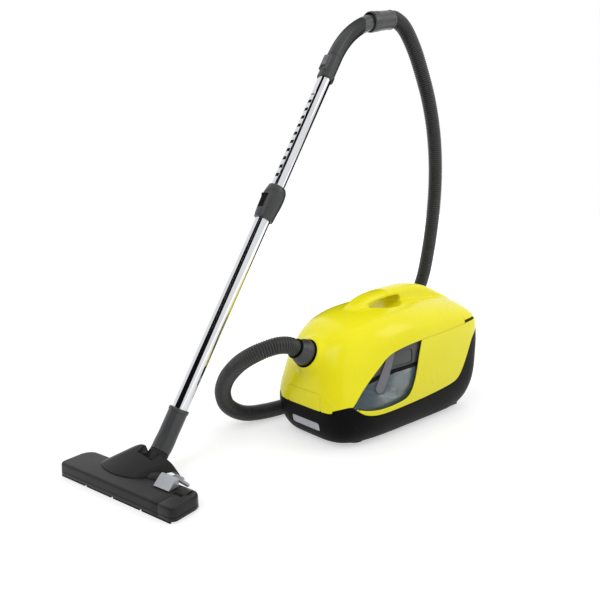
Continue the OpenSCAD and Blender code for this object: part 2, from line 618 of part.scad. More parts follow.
module wand_collar() color(BLACK) row_frame() on_wand(collar_start) difference() {
  union() {
    cylinder(h = collar_length, r = lower_tube_r + 4.5);
    translate([0, 0, collar_length - 14]) cylinder(h = 14, r = lower_tube_r + 6);
    translate([-13, -lower_tube_r - 9, 14]) cube([26, 20, 62]);
  }
  translate([0, 0, -1]) cylinder(h = 53, r = lower_tube_r + 0.02);
  translate([0, 0, 50]) cylinder(h = 60, r = upper_tube_r + running_fit);
  translate([-9.2, -lower_tube_r - 10, 24]) cube([18.4, 5.6, 42]);
}
module lock_button() color([0.30, 0.31, 0.33]) row_frame() on_wand(collar_start + 33) translate([-9, -lower_tube_r - 8, 0]) {
  translate([0, 0, 0]) cube([18, 3.2, 24]);
  for (i = [0:2]) translate([2, -1.2, 5 + i * 5]) cube([14, 1.4, 2.4]);
}
module lower_tube() color(CHROME) row_frame() on_wand(tube_start) difference() {
  cylinder(h = lower_tube_end - tube_start, r = lower_tube_r);
  translate([0, 0, -1]) cylinder(h = lower_tube_end, r = lower_tube_r - tube_wall);
}

module at_nozzle() translate(nozzle_origin) rotate([0, 0, nozzle_yaw]) children();
// from the bend down to the tilt axis
module on_neck() translate(bend) rotate([0, 0, nozzle_yaw]) rotate([neck_fall - 90, 0, 0]) children();

module nozzle_neck() color(GREY) row_frame() difference() {
  union() {
    on_wand() cylinder(h = tube_start + socket_depth, r = socket_r);
    on_wand(tube_start + socket_depth - 8) cylinder(h = 8, r = socket_r + 1.2);
    translate(bend) sphere(socket_r + 1);
    on_neck() translate([0, 0, -13]) cylinder(h = 13, r = socket_r);
  }
  on_wand(tube_start) cylinder(h = socket_length, r = lower_tube_r + 0.02);
  on_wand() cylinder(h = tube_start + 1, r = 13);
  translate(bend) sphere(15);
  on_neck() translate([0, 0, -20]) cylinder(h = 20, r = 14 + running_fit);
  on_neck() translate([0, 0, -40]) cylinder(h = 27, r = 30);
}
module nozzle_elbow() color(GREY) row_frame() difference() {
  union() {
    on_neck() translate([0, 0, -neck_reach]) cylinder(h = neck_reach - 13.6, r = 17.5);
    on_neck() translate([0, 0, -16]) cylinder(h = 14, r = 14);
    at_nozzle() translate(tilt_axis) rotate([0, 90, 0]) cylinder(h = 44, r = 18, center = true);
    at_nozzle() translate(tilt_axis) rotate([0, 90, 0]) cylinder(h = 60, r = 5, center = true);
  }
  on_neck() translate([0, 0, -40]) cylinder(h = 60, r = 10.5);
  at_nozzle() translate(tilt_axis) rotate([108, 0, 0]) cylinder(h = 40, r = 10);
}

// rounded rectangle of the nozzle's plan
module plan(l, w, r) {
  square([l - 2 * r, w], center = true);
  square([l, w - 2 * r], center = true);
  for (i = [-1, 1]) for (j = [-1, 1]) translate([i * (l / 2 - r), j * (w / 2 - r)]) circle(r);
}
mouth = [nozzle_length - 70, 24];
pedal_at = [96, 6];
module nozzle_body() color(GREY) row_frame() at_nozzle() difference() {
  union() {
    translate([0, 0, 5]) linear_extrude(nozzle_height - 13) plan(nozzle_length, nozzle_depth, nozzle_corner);
    translate([0, 0, nozzle_height - 8]) linear_extrude(5) plan(nozzle_length - 5, nozzle_depth - 5, nozzle_corner - 2);
    translate([0, 0, nozzle_height - 3]) linear_extrude(3) plan(nozzle_length - 12, nozzle_depth - 12, nozzle_corner - 4);
    for (s = [-1, 1]) translate([s * 27, 0, 0]) {
      translate([-4, nozzle_depth / 2 - 6, 12]) cube([8, tilt_axis[1] - nozzle_depth / 2 + 6, 29]);
      translate([0, tilt_axis[1], tilt_axis[2]]) rotate([0, 90, 0]) cylinder(h = 8, r = 11, center = true);
    }
  }
  // suction mouth, and the duct from it to the elbow
  translate([-mouth[0] / 2, -mouth[1] / 2, 0]) cube([mouth[0], mouth[1], 20]);
  translate([-17, -6, 8]) cube([34, 80, 16]);
  translate(tilt_axis) rotate([0, 90, 0]) cylinder(h = 45.2, r = 18.6, center = true);
  translate([0, tilt_axis[1], tilt_axis[2]]) rotate([0, 90, 0]) cylinder(h = 80, r = 5 + running_fit, center = true);
  // seats of the brush strips, the pedal and the rollers
  for (s = [-1, 1]) translate([-nozzle_length / 2 + 20, s * 24 - 2.2, 0]) cube([nozzle_length - 40, 4.4, 15 + brush_travel]);
  translate([pedal_at[0] - 23, pedal_at[1] - 22, nozzle_height - 7]) cube([46, 50, 10]);
  translate([pedal_at[0], pedal_at[1] + 2, nozzle_height - 4]) rotate([0, 90, 0]) cylinder(h = 54, r = 2 + running_fit, center = true);
  for (s = [-1, 1]) {
    translate([s * (nozzle_length / 2 - 26) - 7, 5, 0]) cube([14, 15.5, 20]);
    translate([s * (nozzle_length / 2 - 26), 13, roller_r]) rotate([0, 90, 0]) cylinder(h = 24, r = 2 + running_fit, center = true);
  }
}
roller_r = 7;

module nozzle_cover() color(GREY) row_frame() at_nozzle() one_mesh() difference() {
  intersection() {
    translate([-12, 24, nozzle_height - 6]) scale([88, 46, 27]) sphere(1, $fn = 32);
    translate([-150, -60, nozzle_height]) cube([300, nozzle_depth / 2 + 60 - 7, 60]);
  }
  translate([0, tilt_axis[1], tilt_axis[2]]) rotate([0, 90, 0]) cylinder(h = 66, r = 22, center = true, $fn = 40);
  translate([pedal_at[0] - 25, pedal_at[1] - 24, 0]) cube([50, 54, 60]);
}

module nozzle_pedal() color([0.62, 0.63, 0.65]) row_frame() at_nozzle() translate([pedal_at[0], pedal_at[1] + 2, nozzle_height - 4]) {
  translate([-21, -22, 3.5]) cube([42, 44, 4]);
  translate([-21, -3, -2]) cube([42, 6, 6]);
  rotate([0, 90, 0]) cylinder(h = 52, r = 2, center = true);
}

// bristle strips that the pedal lifts
module brush_strips() color([0.16, 0.16, 0.17]) row_frame() at_nozzle() for (s = [-1, 1]) translate([-nozzle_length / 2 + 22, s * 24 - 1.8, 0]) {
  translate([0, 0, 5]) cube([nozzle_length - 44, 3.6, 9]);
  for (i = [0:22]) translate([3 + i * (nozzle_length - 50) / 23, 0.4, 0]) cube([(nozzle_length - 50) / 23 - 2.4, 2.8, 6]);
}

module sole_plate() color(CHROME) row_frame() at_nozzle() difference() {
  translate([0, 0, 2]) linear_extrude(3) plan(nozzle_length - 6, nozzle_depth - 6, nozzle_corner - 3);
  translate([-mouth[0] / 2, -mouth[1] / 2, 0]) cube([mouth[0], mouth[1], 20]);
  for (s = [-1, 1]) translate([-nozzle_length / 2 + 20, s * 24 - 2.2, 0]) cube([nozzle_length - 40, 4.4, 19]);
  for (s = [-1, 1]) translate([s * (nozzle_length / 2 - 26) - 7, 5, 0]) cube([14, 15.5, 20]);
}

module nozzle_rollers() color(BLACK) row_frame() at_nozzle() for (s = [-1, 1]) translate([s * (nozzle_length / 2 - 26), 13, roller_r]) rotate([0, 90, 0]) {
  cylinder(h = 10, r = roller_r, center = true);
  cylinder(h = 20, r = 2, center = true);
}

module casing_screws() color(CHROME) row_frame() for (s = [-1, 1]) for (y = [-60, 70]) translate([s * 82 * kx, y * ky, 3.8]) difference() {
  cylinder(h = 2.2, r = 4);
  translate([-2.5, -0.5, -1]) cube([5, 1, 2]);
}

base();
base_wells();
side_panels();
hood();
front_flap();
front_plate();
filter_lid();
lid_pin();
power_pedal();
rewind_pedal();
switch_blocks();
rear_shelf();
rear_grille();
cord_gland();
water_tank();
tank_lid();
tank_clips();
filter_frame();
filter_pleats();
motor_can();
fan();
cord_reel();
reel_spindle();
exhaust_filter();
castor_sockets();
castor_left();
castor_right();
castor_wheel_left();
castor_wheel_right();
rear_axle();
rear_wheel_left();
rear_wheel_right();
inlet_collar();
hose_connector();
hose();
hose_cuff();
grip();
grip_bow();
air_slider();
upper_tube();
wand_collar();
lock_button();
lower_tube();
nozzle_neck();
nozzle_elbow();
nozzle_body();
nozzle_cover();
nozzle_pedal();
brush_strips();
sole_plate();
nozzle_rollers();
casing_screws();
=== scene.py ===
# %% [markdown]
# # A canister vacuum cleaner in Blender
# The machine stands on a pale studio floor: a yellow and black canister with a clear water tank, a ribbed
# hose, a telescopic chrome wand and a floor nozzle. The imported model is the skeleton. Every visible piece is
# made again here with finer form and a finish of its own, and rides on the body that moves it.

# %% Load the frame
import bpy
import bmesh
import json
import math
import numpy as np
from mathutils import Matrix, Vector


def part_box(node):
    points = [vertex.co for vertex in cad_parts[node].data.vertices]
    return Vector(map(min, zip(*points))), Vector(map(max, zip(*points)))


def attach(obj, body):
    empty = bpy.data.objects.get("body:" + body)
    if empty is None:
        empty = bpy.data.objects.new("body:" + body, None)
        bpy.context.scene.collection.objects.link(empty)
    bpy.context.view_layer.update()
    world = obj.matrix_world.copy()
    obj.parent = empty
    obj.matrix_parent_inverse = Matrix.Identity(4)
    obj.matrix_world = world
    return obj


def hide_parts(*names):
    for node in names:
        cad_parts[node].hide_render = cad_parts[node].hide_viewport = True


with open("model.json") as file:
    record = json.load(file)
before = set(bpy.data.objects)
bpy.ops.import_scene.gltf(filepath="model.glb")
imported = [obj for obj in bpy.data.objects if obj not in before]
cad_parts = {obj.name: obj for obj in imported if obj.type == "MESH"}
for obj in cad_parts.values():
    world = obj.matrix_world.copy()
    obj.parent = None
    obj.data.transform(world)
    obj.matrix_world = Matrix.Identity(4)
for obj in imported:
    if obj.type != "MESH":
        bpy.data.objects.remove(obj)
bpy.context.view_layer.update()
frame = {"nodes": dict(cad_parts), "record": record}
MM = 0.001
BASE_REAR = 266.78
base_low, base_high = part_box("base")
# the drawing's origin lies on the floor, under the canister's centre line, BASE_REAR before the base's rear end
ORIGIN = np.array([(base_low.x + base_high.x) / 2 / MM, base_high.y / MM - BASE_REAR, 0.0])
print("drawing's origin in the row frame, mm:", np.round(ORIGIN, 2))

# %% [markdown]
# ## Camera
# The product is looked at from its front left, ten degrees above the level, by a lens as long as the picture
# is wide.

# %% Camera
CAMERA_TARGET = np.array([-136.5, -151.6, 311.0])
CAMERA_TURN, CAMERA_RISE, CAMERA_REACH = math.radians(48), math.radians(10), 1550.0


def to_row(point):
    """A point of the drawing, in millimetres, as a place in the row frame, in metres."""
    return Vector((np.asarray(point, float) + ORIGIN) * MM)


back = Vector((math.sin(CAMERA_TURN) * math.cos(CAMERA_RISE), -math.cos(CAMERA_TURN) * math.cos(CAMERA_RISE),
               math.sin(CAMERA_RISE)))
camera = bpy.data.objects.new("camera", bpy.data.cameras.new("camera"))
camera.data.lens = camera.data.sensor_width = 36
camera.location = to_row(CAMERA_TARGET) + back * CAMERA_REACH * MM
camera.rotation_euler = (-back).to_track_quat("-Z", "Y").to_euler()
camera.data.clip_start, camera.data.clip_end = 0.05, 50
bpy.context.scene.collection.objects.link(camera)
bpy.context.scene.camera = camera
print("camera at", [round(c, 3) for c in camera.location])

# %% [markdown]
# ## Measures
# The same few sizes as in the solid model. Each is a real length in millimetres or an angle, so that a piece
# made here lands exactly where the solid one is.

# %% Measures of the machine
INLET = np.array([0.0, -250.0, 212.0])
INLET_TILT = math.radians(28)
INLET_OUT = np.array([0.0, -math.cos(INLET_TILT), math.sin(INLET_TILT)])
CONNECTOR_LENGTH = 46.0
WAND_TILT = math.radians(59.4)
WAND_BEND = np.array([-76.0, -593.0, 60.0])
WAND_OUT = np.array([0.0, math.cos(WAND_TILT), math.sin(WAND_TILT)])
CUFF_RISE = math.radians(14)
CUFF_OUT = np.array([0.0, math.cos(CUFF_RISE), math.sin(CUFF_RISE)])
CUFF_LENGTH = 58.0
GRIP_BEND = 235.0
GRIP_START, GRIP_STRAIGHT = 916.0, 62.0
BEND_UP = GRIP_START + GRIP_STRAIGHT
GRIP_END = WAND_BEND + np.array([
    0.0,
    BEND_UP * math.cos(WAND_TILT) + GRIP_BEND * (math.sin(WAND_TILT) - math.sin(CUFF_RISE)),
    BEND_UP * math.sin(WAND_TILT) + GRIP_BEND * (math.cos(CUFF_RISE) - math.cos(WAND_TILT))])
HOSE_START = INLET + (CONNECTOR_LENGTH + 0.2) * INLET_OUT
HOSE_END = GRIP_END + CUFF_LENGTH * CUFF_OUT
HOSE_RADIUS = 20.0
WHEEL_X, WHEEL_Y, WHEEL_Z = 92.0, 176.0, 35.0
CASTOR_X, CASTOR_PIVOT_Y, CASTOR_WHEEL_Y, CASTOR_WHEEL_Z = 76.0, -176.0, -168.0, 14.0
print("the grip ends at", np.round(GRIP_END, 1))

# %% [markdown]
# ## Small tools
# A mesh becomes an object in one place, which also turns millimetres of the drawing into metres of the frame.
# Every finished object stays at the origin, with its place in its mesh.

# %% Make an object from points and faces
SMOOTH_ANGLE = math.radians(38)


def raw(name, points, faces):
    """Points in the drawing's millimetres become an object in the row frame that isn't finished yet."""
    points = (np.asarray(points, float) + ORIGIN) * MM
    if name in frame["nodes"]:
        name += "_fine"
    mesh = bpy.data.meshes.new(name)
    mesh.from_pydata(points.tolist(), [], [list(map(int, f)) for f in faces])
    piece = bpy.data.objects.new(name, mesh)
    bpy.context.scene.collection.objects.link(piece)
    return piece


def tidy(piece, smooth=SMOOTH_ANGLE):
    """Merges doubles, turns the faces outwards and keeps only the sharp edges sharp."""
    bm = bmesh.new()
    bm.from_mesh(piece.data)
    bmesh.ops.remove_doubles(bm, verts=bm.verts, dist=1e-7)
    bmesh.ops.dissolve_degenerate(bm, edges=bm.edges, dist=1e-7)
    bmesh.ops.recalc_face_normals(bm, faces=bm.faces)
    for edge in bm.edges:
        edge.smooth = edge.calc_face_angle(0.0) < smooth
    for face in bm.faces:
        face.smooth = True
    bm.to_mesh(piece.data)
    bm.free()


def declare(piece, body, material, node=()):
    """Gives the piece its finish, hangs it on the body that carries it and hides the solids it stands for."""
    piece.data.materials.clear()
    piece.data.materials.append(bpy.data.materials[material])
    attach(piece, body)
    if node:
        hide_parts(*node)


def make(name, points, faces, body, slot, material=None, node=()):
    """A whole piece from points and faces. Its finish has the slot's name unless another one is given."""
    piece = raw(name, points, faces)
    tidy(piece)
    declare(piece, body, material or slot, node)
    return piece


def apply_modifiers(piece):
    """Replaces the object's mesh by what its modifiers make of it."""
    evaluated = piece.evaluated_get(bpy.context.evaluated_depsgraph_get())
    mesh = bpy.data.meshes.new_from_object(evaluated)
    piece.modifiers.clear()
    piece.data = mesh
    return piece


def basis(origin, axis, side=(1.0, 0.0, 0.0)):
    """A 4 x 4 matrix that carries local X, Y, Z to a place in the drawing: Z on the axis and X near side."""
    z = Vector(axis).normalized()
    x = (Vector(side) - Vector(side).dot(z) * z).normalized()
    y = z.cross(x)
    return np.array([[x[i], y[i], z[i], origin[i]] for i in range(3)] + [[0, 0, 0, 1]])


def carried(points, place):
    """Points of a place's own X, Y, Z as points of the drawing."""
    return np.asarray(points, float) @ place[:3, :3].T + place[:3, 3]


# %% Turned shapes and swept shapes
def rounded(profile, radius=0.8, steps=3):
    """Rounds the inner corners of an open profile of r, z points."""
    points = [np.array(p, float) for p in profile]
    out = [points[0]]
    for a, b, c in zip(points, points[1:], points[2:]):
        reach = min(radius, np.linalg.norm(a - b) * 0.45, np.linalg.norm(c - b) * 0.45)
        start = b + (a - b) / max(np.linalg.norm(a - b), 1e-9) * reach
        stop = b + (c - b) / max(np.linalg.norm(c - b), 1e-9) * reach
        for i in range(steps + 1):
            t = i / steps
            out.append((1 - t) ** 2 * start + 2 * t * (1 - t) * b + t * t * stop)
    out.append(points[-1])
    return np.array(out)


def ring_faces(rings, sides, closed):
    """Squares between rings of points. A closed set also joins its last ring to its first."""
    last = rings if closed else rings - 1
    return [(k * sides + i, k * sides + (i + 1) % sides, (k + 1) % rings * sides + (i + 1) % sides,
             (k + 1) % rings * sides + i) for k in range(last) for i in range(sides)]


def lathe(profile, place, sides=72, closed=True):
    """Turns a profile of r, z points about the place's Z axis. Returns points and faces."""
    profile = np.asarray(profile, float)
    angles = np.arange(sides) * 2 * math.pi / sides
    rings = np.stack([np.outer(profile[:, 0], np.cos(angles)), np.outer(profile[:, 0], np.sin(angles)),
                      np.outer(profile[:, 1], np.ones(sides))], -1)
    return carried(rings.reshape(-1, 3), place), ring_faces(len(profile), sides, closed)


def prism(outline, low, high, place=None, axes=(1, 2)):
    """A flat outline given in two axes and drawn out along the third."""
    third = 3 - sum(axes)
    n = len(outline)
    points = np.zeros((2 * n, 3))
    for k, end in enumerate((low, high)):
        rows = slice(k * n, (k + 1) * n)
        points[rows, axes[0]], points[rows, axes[1]] = np.array(outline, float).T
        points[rows, third] = end
    faces = [tuple(range(n))[::-1], tuple(range(n, 2 * n))]
    faces += [(i, (i + 1) % n, n + (i + 1) % n, n + i) for i in range(n)]
    return (points if place is None else carried(points, place)), faces


def joined(*shapes):
    """Several points-and-faces shapes as one."""
    points, faces, offset = [], [], 0
    for p, f in shapes:
        points.append(np.asarray(p, float))
        faces += [tuple(i + offset for i in face) for face in f]
        offset += len(p)
    return np.concatenate(points), faces


def box(low, high, place=None):
    """A block between two opposite corners."""
    x, y, z = zip(low, high)
    points = np.array([(x[i], y[j], z[k]) for i in (0, 1) for j in (0, 1) for k in (0, 1)], float)
    faces = [(0, 1, 3, 2), (4, 6, 7, 5), (0, 4, 5, 1), (2, 3, 7, 6), (0, 2, 6, 4), (1, 5, 7, 3)]
    return (points if place is None else carried(points, place)), faces


def soften(piece, width, segments=3, angle=40):
    """Rounds a piece's hard edges by a real bevel, width in millimetres."""
    bevel = piece.modifiers.new("bevel", "BEVEL")
    bevel.width, bevel.segments, bevel.limit_method = width * MM, segments, "ANGLE"
    bevel.angle_limit, bevel.harden_normals = math.radians(angle), False
    return apply_modifiers(piece)


# %% A node tree that sets copies of one part in a row
def row_tree():
    """Part, Count, Step and Finish in, one real mesh out."""
    tree = bpy.data.node_groups.new("row_of_parts", "GeometryNodeTree")
    for label, kind in (("Part", "Geometry"), ("Count", "Int"), ("Step", "Vector"), ("Finish", "Material")):
        tree.interface.new_socket(name=label, in_out="INPUT", socket_type="NodeSocket" + kind)
    tree.interface.new_socket(name="Row", in_out="OUTPUT", socket_type="NodeSocketGeometry")
    given, result = tree.nodes.new("NodeGroupInput"), tree.nodes.new("NodeGroupOutput")
    line = tree.nodes.new("GeometryNodeMeshLine")
    copies = tree.nodes.new("GeometryNodeInstanceOnPoints")
    real = tree.nodes.new("GeometryNodeRealizeInstances")
    paint = tree.nodes.new("GeometryNodeSetMaterial")
    for source, label, target, socket in (
            (given, "Count", line, "Count"), (given, "Step", line, "Offset"),
            (line, "Mesh", copies, "Points"), (given, "Part", copies, "Instance"),
            (copies, "Instances", real, "Geometry"), (real, "Geometry", paint, "Geometry"),
            (given, "Finish", paint, "Material"), (paint, "Geometry", result, "Row")):
        tree.links.new(source.outputs[label], target.inputs[socket])
    return tree


ROW_TREE = row_tree()


def set_inputs(modifier, **values):
    """Sets a tree's named inputs by their identifiers."""
    for socket in modifier.node_group.interface.items_tree:
        if socket.item_type == "SOCKET" and socket.in_out == "INPUT" and socket.name in values:
            modifier[socket.identifier] = values[socket.name]


def row_of(name, shape, count, step, body, slot, material=None, node=()):
    """Copies of one small part, each a step in millimetres from the last."""
    piece = raw(name, *shape)
    tidy(piece)
    row = piece.modifiers.new("row", "NODES")
    row.node_group = ROW_TREE
    paint = bpy.data.materials[material or slot]
    set_inputs(row, Count=count, Step=tuple(float(v) * MM for v in step), Finish=paint)
    apply_modifiers(piece)
    declare(piece, body, material or slot, node)
    return piece


print("tools ready")

# %% [markdown]
# ## Finishes
# Two effects are shared by most of the materials, so each is a node group that is built once. The first is
# the fine grain of a moulding tool, with slow patches of shade and gloss. The second is the haze of small
# scuffs that hands and floors leave. Each material places the groups with its own values and keeps its own
# Principled shader.

# %% Shared shader groups
def srgb(red, green, blue):
    """A colour as a picture holds it, 0 to 255, as the shader wants it."""
    linear = [c / 255 / 12.92 if c <= 10 else ((c / 255 + 0.055) / 1.055) ** 2.4 for c in (red, green, blue)]
    return (*linear, 1)


def new_group(name, inputs, outputs):
    """An empty shader group whose sockets are all numbers, with its two end nodes."""
    tree = bpy.data.node_groups.new(name, "ShaderNodeTree")
    for label, value in inputs:
        socket = tree.interface.new_socket(name=label, in_out="INPUT", socket_type="NodeSocketFloat")
        socket.default_value = value
    for label in outputs:
        tree.interface.new_socket(name=label, in_out="OUTPUT", socket_type="NodeSocketFloat")
    return tree, tree.nodes.new("NodeGroupInput"), tree.nodes.new("NodeGroupOutput")


def noise(tree, place, scale, detail, roughness=0.5, distortion=0.0):
    """Noise at a place. Its scale is a number or a socket."""
    node = tree.nodes.new("ShaderNodeTexNoise")
    node.inputs["Detail"].default_value = detail
    node.inputs["Roughness"].default_value = roughness
    node.inputs["Distortion"].default_value = distortion
    tree.links.new(place, node.inputs["Vector"])
    if isinstance(scale, (int, float)):
        node.inputs["Scale"].default_value = scale
    else:
        tree.links.new(scale, node.inputs["Scale"])
    return node.outputs["Fac"]


def stretched(tree, value, low, high, start=0.0, stop=1.0):
    """A value between low and high becomes one between start and stop."""
    node = tree.nodes.new("ShaderNodeMapRange")
    for label, number in (("From Min", low), ("From Max", high), ("To Min", start), ("To Max", stop)):
        node.inputs[label].default_value = number
    tree.links.new(value, node.inputs["Value"])
    return node.outputs["Result"]


def grain_group():
    scales = [("Grain Scale", 900), ("Patch Scale", 9)]
    tree, given, result = new_group("moulded_grain", scales, ["Height", "Patch"])
    place = tree.nodes.new("ShaderNodeTexCoord").outputs["Object"]
    tree.links.new(noise(tree, place, given.outputs["Grain Scale"], 2), result.inputs["Height"])
    patch = noise(tree, place, given.outputs["Patch Scale"], 4, 0.55)
    tree.links.new(stretched(tree, patch, 0.3, 0.7), result.inputs["Patch"])
    return tree


def scuff_group():
    tree, given, result = new_group("fine_scuffs", [("Scale", 70)], ["Mask"])
    place = tree.nodes.new("ShaderNodeTexCoord").outputs["Object"]
    broad = stretched(tree, noise(tree, place, 11, 3), 0.45, 0.7)
    fine = stretched(tree, noise(tree, place, given.outputs["Scale"], 9, 0.7, 1.6), 0.56, 0.7)
    both = tree.nodes.new("ShaderNodeMath")
    both.operation = "MULTIPLY"
    tree.links.new(broad, both.inputs[0])
    tree.links.new(fine, both.inputs[1])
    tree.links.new(both.outputs[0], result.inputs["Mask"])
    return tree


GRAIN, SCUFFS = grain_group(), scuff_group()
print("groups:", GRAIN.name, SCUFFS.name)


# %% One recipe for every finish
def finish(name, colour, shade, roughness, grain=900.0, bump=0.05, scuffs=0.1, patch=9.0, **fixed):
    """A Principled material: colour drifts to shade in slow patches, roughness is a range, fixed are sockets.

    The frame already holds a plain material of each slot's name, and that one is taken over."""
    material = bpy.data.materials.get(name) or bpy.data.materials.new(name)
    material.use_nodes = True
    tree = material.node_tree
    shader = tree.nodes["Principled BSDF"]
    given = tree.nodes.new("ShaderNodeGroup")
    given.node_tree = GRAIN
    given.inputs["Grain Scale"].default_value = grain
    given.inputs["Patch Scale"].default_value = patch
    worn = tree.nodes.new("ShaderNodeGroup")
    worn.node_tree = SCUFFS
    mask = stretched(tree, worn.outputs["Mask"], 0, 1, 0, scuffs)
    drift = tree.nodes.new("ShaderNodeMix")
    drift.data_type = "RGBA"
    drift.inputs["A"].default_value, drift.inputs["B"].default_value = colour, shade
    tree.links.new(given.outputs["Patch"], drift.inputs["Factor"])
    pale = tree.nodes.new("ShaderNodeMix")
    pale.data_type = "RGBA"
    pale.inputs["B"].default_value = tuple(0.55 * c + 0.2 for c in colour[:3]) + (1,)
    tree.links.new(mask, pale.inputs["Factor"])
    tree.links.new(drift.outputs["Result"], pale.inputs["A"])
    tree.links.new(pale.outputs["Result"], shader.inputs["Base Color"])
    gloss = stretched(tree, given.outputs["Patch"], 0, 1, *roughness)
    total = tree.nodes.new("ShaderNodeMath")
    total.operation, total.use_clamp = "ADD", True
    tree.links.new(gloss, total.inputs[0])
    tree.links.new(mask, total.inputs[1])
    tree.links.new(total.outputs[0], shader.inputs["Roughness"])
    height = tree.nodes.new("ShaderNodeBump")
    height.inputs["Strength"].default_value = bump
    height.inputs["Distance"].default_value = 0.0004
    tree.links.new(given.outputs["Height"], height.inputs["Height"])
    tree.links.new(height.outputs["Normal"], shader.inputs["Normal"])
    for label, value in fixed.items():
        shader.inputs[label.replace("_", " ")].default_value = value
    return material


finish("yellow_shell", srgb(240, 232, 20), srgb(236, 226, 14), (0.24, 0.3), 700, 0.02, 0.04, 6,
       Specular_IOR_Level=0.2, Coat_Weight=0.2, Coat_Roughness=0.08)
finish("black_shell", srgb(11, 11, 11), srgb(15, 15, 15), (0.36, 0.46), 1600, 0.16, 0.06,
       Specular_IOR_Level=0.05)
finish("dark_grey_plastic", srgb(62, 63, 64), srgb(54, 55, 56), (0.3, 0.4), 1500, 0.10, 0.1,
       Specular_IOR_Level=0.4)
finish("nozzle_plastic", srgb(34, 34, 35), srgb(29, 29, 30), (0.3, 0.4), 1500, 0.10, 0.08,
       Specular_IOR_Level=0.2)
finish("mid_grey_plastic", srgb(104, 104, 110), srgb(94, 95, 101), (0.32, 0.42), 1400, 0.10, 0.1)
finish("silver_plastic", srgb(176, 177, 182), srgb(160, 161, 167), (0.24, 0.34), 2600, 0.10, 0.12,
       Metallic=0.55)
finish("chrome_tube", srgb(222, 223, 226), srgb(212, 213, 217), (0.03, 0.05), 900, 0.01, 0.04, 30,
       Metallic=1.0)
finish("steel", srgb(176, 177, 180), srgb(158, 159, 163), (0.22, 0.34), 1800, 0.08, 0.2, 20,
       Metallic=1.0)
finish("clear_tank", srgb(196, 219, 230), srgb(178, 205, 218), (0.05, 0.1), 900, 0.02, 0.06,
       Transmission_Weight=0.82, IOR=1.3)
finish("hose_rubber", srgb(38, 38, 39), srgb(48, 48, 49), (0.34, 0.46), 1200, 0.10, 0.2)
finish("tyre_rubber", srgb(30, 30, 31), srgb(40, 40, 41), (0.7, 0.85), 900, 0.4, 0.2)
finish("filter_orange", srgb(217, 120, 44), srgb(205, 108, 36), (0.35, 0.45), 1400, 0.08, 0.1)
finish("filter_paper", srgb(238, 238, 232), srgb(226, 226, 216), (0.8, 0.92), 2400, 0.6, 0.1, 40,
       Sheen_Weight=0.2)
finish("filter_foam", srgb(44, 44, 46), srgb(58, 58, 60), (0.85, 0.95), 500, 0.9, 0.1, 60, Sheen_Weight=0.3)
finish("motor_metal", srgb(120, 122, 126), srgb(104, 106, 110), (0.35, 0.5), 900, 0.2, 0.2, Metallic=0.7)
finish("bristle", srgb(34, 34, 36), srgb(46, 46, 48), (0.6, 0.8), 900, 0.2, 0.1, 60, Sheen_Weight=0.3)
print(len(bpy.data.materials), "finishes")

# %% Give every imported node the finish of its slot
slots_of = {}
for part in frame["record"]["subparts"]:
    slots_of[part["node"]] = part["material_slot"]
for name, solid in frame["nodes"].items():
    slot_name = slots_of[name]
    solid.data.materials.clear()
    solid.data.materials.append(bpy.data.materials[slot_name])
print("slots:", sorted(set(filter(None, slots_of.values()))))

# %% [markdown]
# ## The casing as a field
# Hood, base, side panels, flap, lid and pedals are moulded to one common skin, and they differ only in which
# share of it they cover. So the skin is made once, as a field: a number at every point of a fine grid that is
# negative inside the machine, positive outside and grows by a millimetre for each millimetre. Fields blend
# softly, which is how the handle and the inlet boss grow out of the hood with a rounded root. The skin is
# where the field is zero.

# %% The casing's levels, spine and edges in millimetres
# outline per level: front y, rear y, half width, front and rear roundness, z at front, middle and rear
LEVELS = np.array([
    (-228, 248, 108, 4.5, 5, 6, 6, 6), (-243, 255, 121, 4.5, 5, 15, 15, 15),
    (-256, 263, 134, 4.8, 6, 40, 40, 40), (-262, 267, 142, 4.8, 7.5, 75, 75, 75),
    (-264, 267.5, 144.5, 4.2, 9, 112, 112, 112), (-262, 267.5, 144, 3.4, 10, 152, 152, 152),
    (-258, 267, 143, 2.9, 11, 188, 188, 190), (-250, 266, 141, 2.6, 11, 214, 216, 222),
    (-237, 265, 137, 2.5, 11, 236, 242, 248), (-217, 263, 128, 2.5, 9, 256, 265, 262),
    (-190, 261, 112, 2.5, 7, 275, 284, 273), (-152, 258, 90, 2.5, 5.5, 291, 297, 283),
    (-104, 255, 60, 2.4, 4.5, 302, 306, 292), (-46, 250, 28, 2.2, 3.5, 309, 311, 299)])
# spine and handle: y, top z, half width, foot z
SPINE = np.array([
    (-140, 284, 14, 268), (-124, 296, 20, 278), (-104, 311, 24.5, 284), (-76, 324, 27.5, 286),
    (-36, 334, 29.5, 288), (30, 341, 31, 290), (99, 344.6, 32.9, 290), (150, 339, 35, 288),
    (190, 325, 37.8, 282), (224, 311, 40.9, 276), (245, 302, 43.4, 268), (262, 291, 45.3, 262)])
SPINE_END, SPINE_ROOT = 259.0, 12.0
HANDLE_THICKNESS = 17.0
HOLLOW_CENTRE, HOLLOW_HALF = (0.0, -12.0, 314.0), (66.0, 66.0, 27.0)
BOSS_RADIUS, BOSS_TOP, BOSS_ROOT = 39.0, 6.0, 45.0
BOSS_FLARE, BOSS_LENGTH = 10.0, 46.0
BASE_EDGE = [(-320, 84), (-263, 88), (-256, 97), (-246, 103), (-233, 107), (-225, 107), (-214, 97), (-199, 87),
             (-183, 81), (-157, 76.5), (-117, 75.5), (-43, 78), (37, 82.5), (105, 89), (140, 95), (158, 103),
             (174, 120), (192, 148), (205, 172), (220, 198), (240, 216), (262, 227), (320, 236)]
WINDOW_LOW = [(-225, 107), (-209, 99.5), (-189, 94), (-159, 89.5), (-126, 88.5), (-90, 90.5), (-57, 96),
              (-39, 110), (-26, 136), (-19, 159), (-10, 197), (2, 231)]
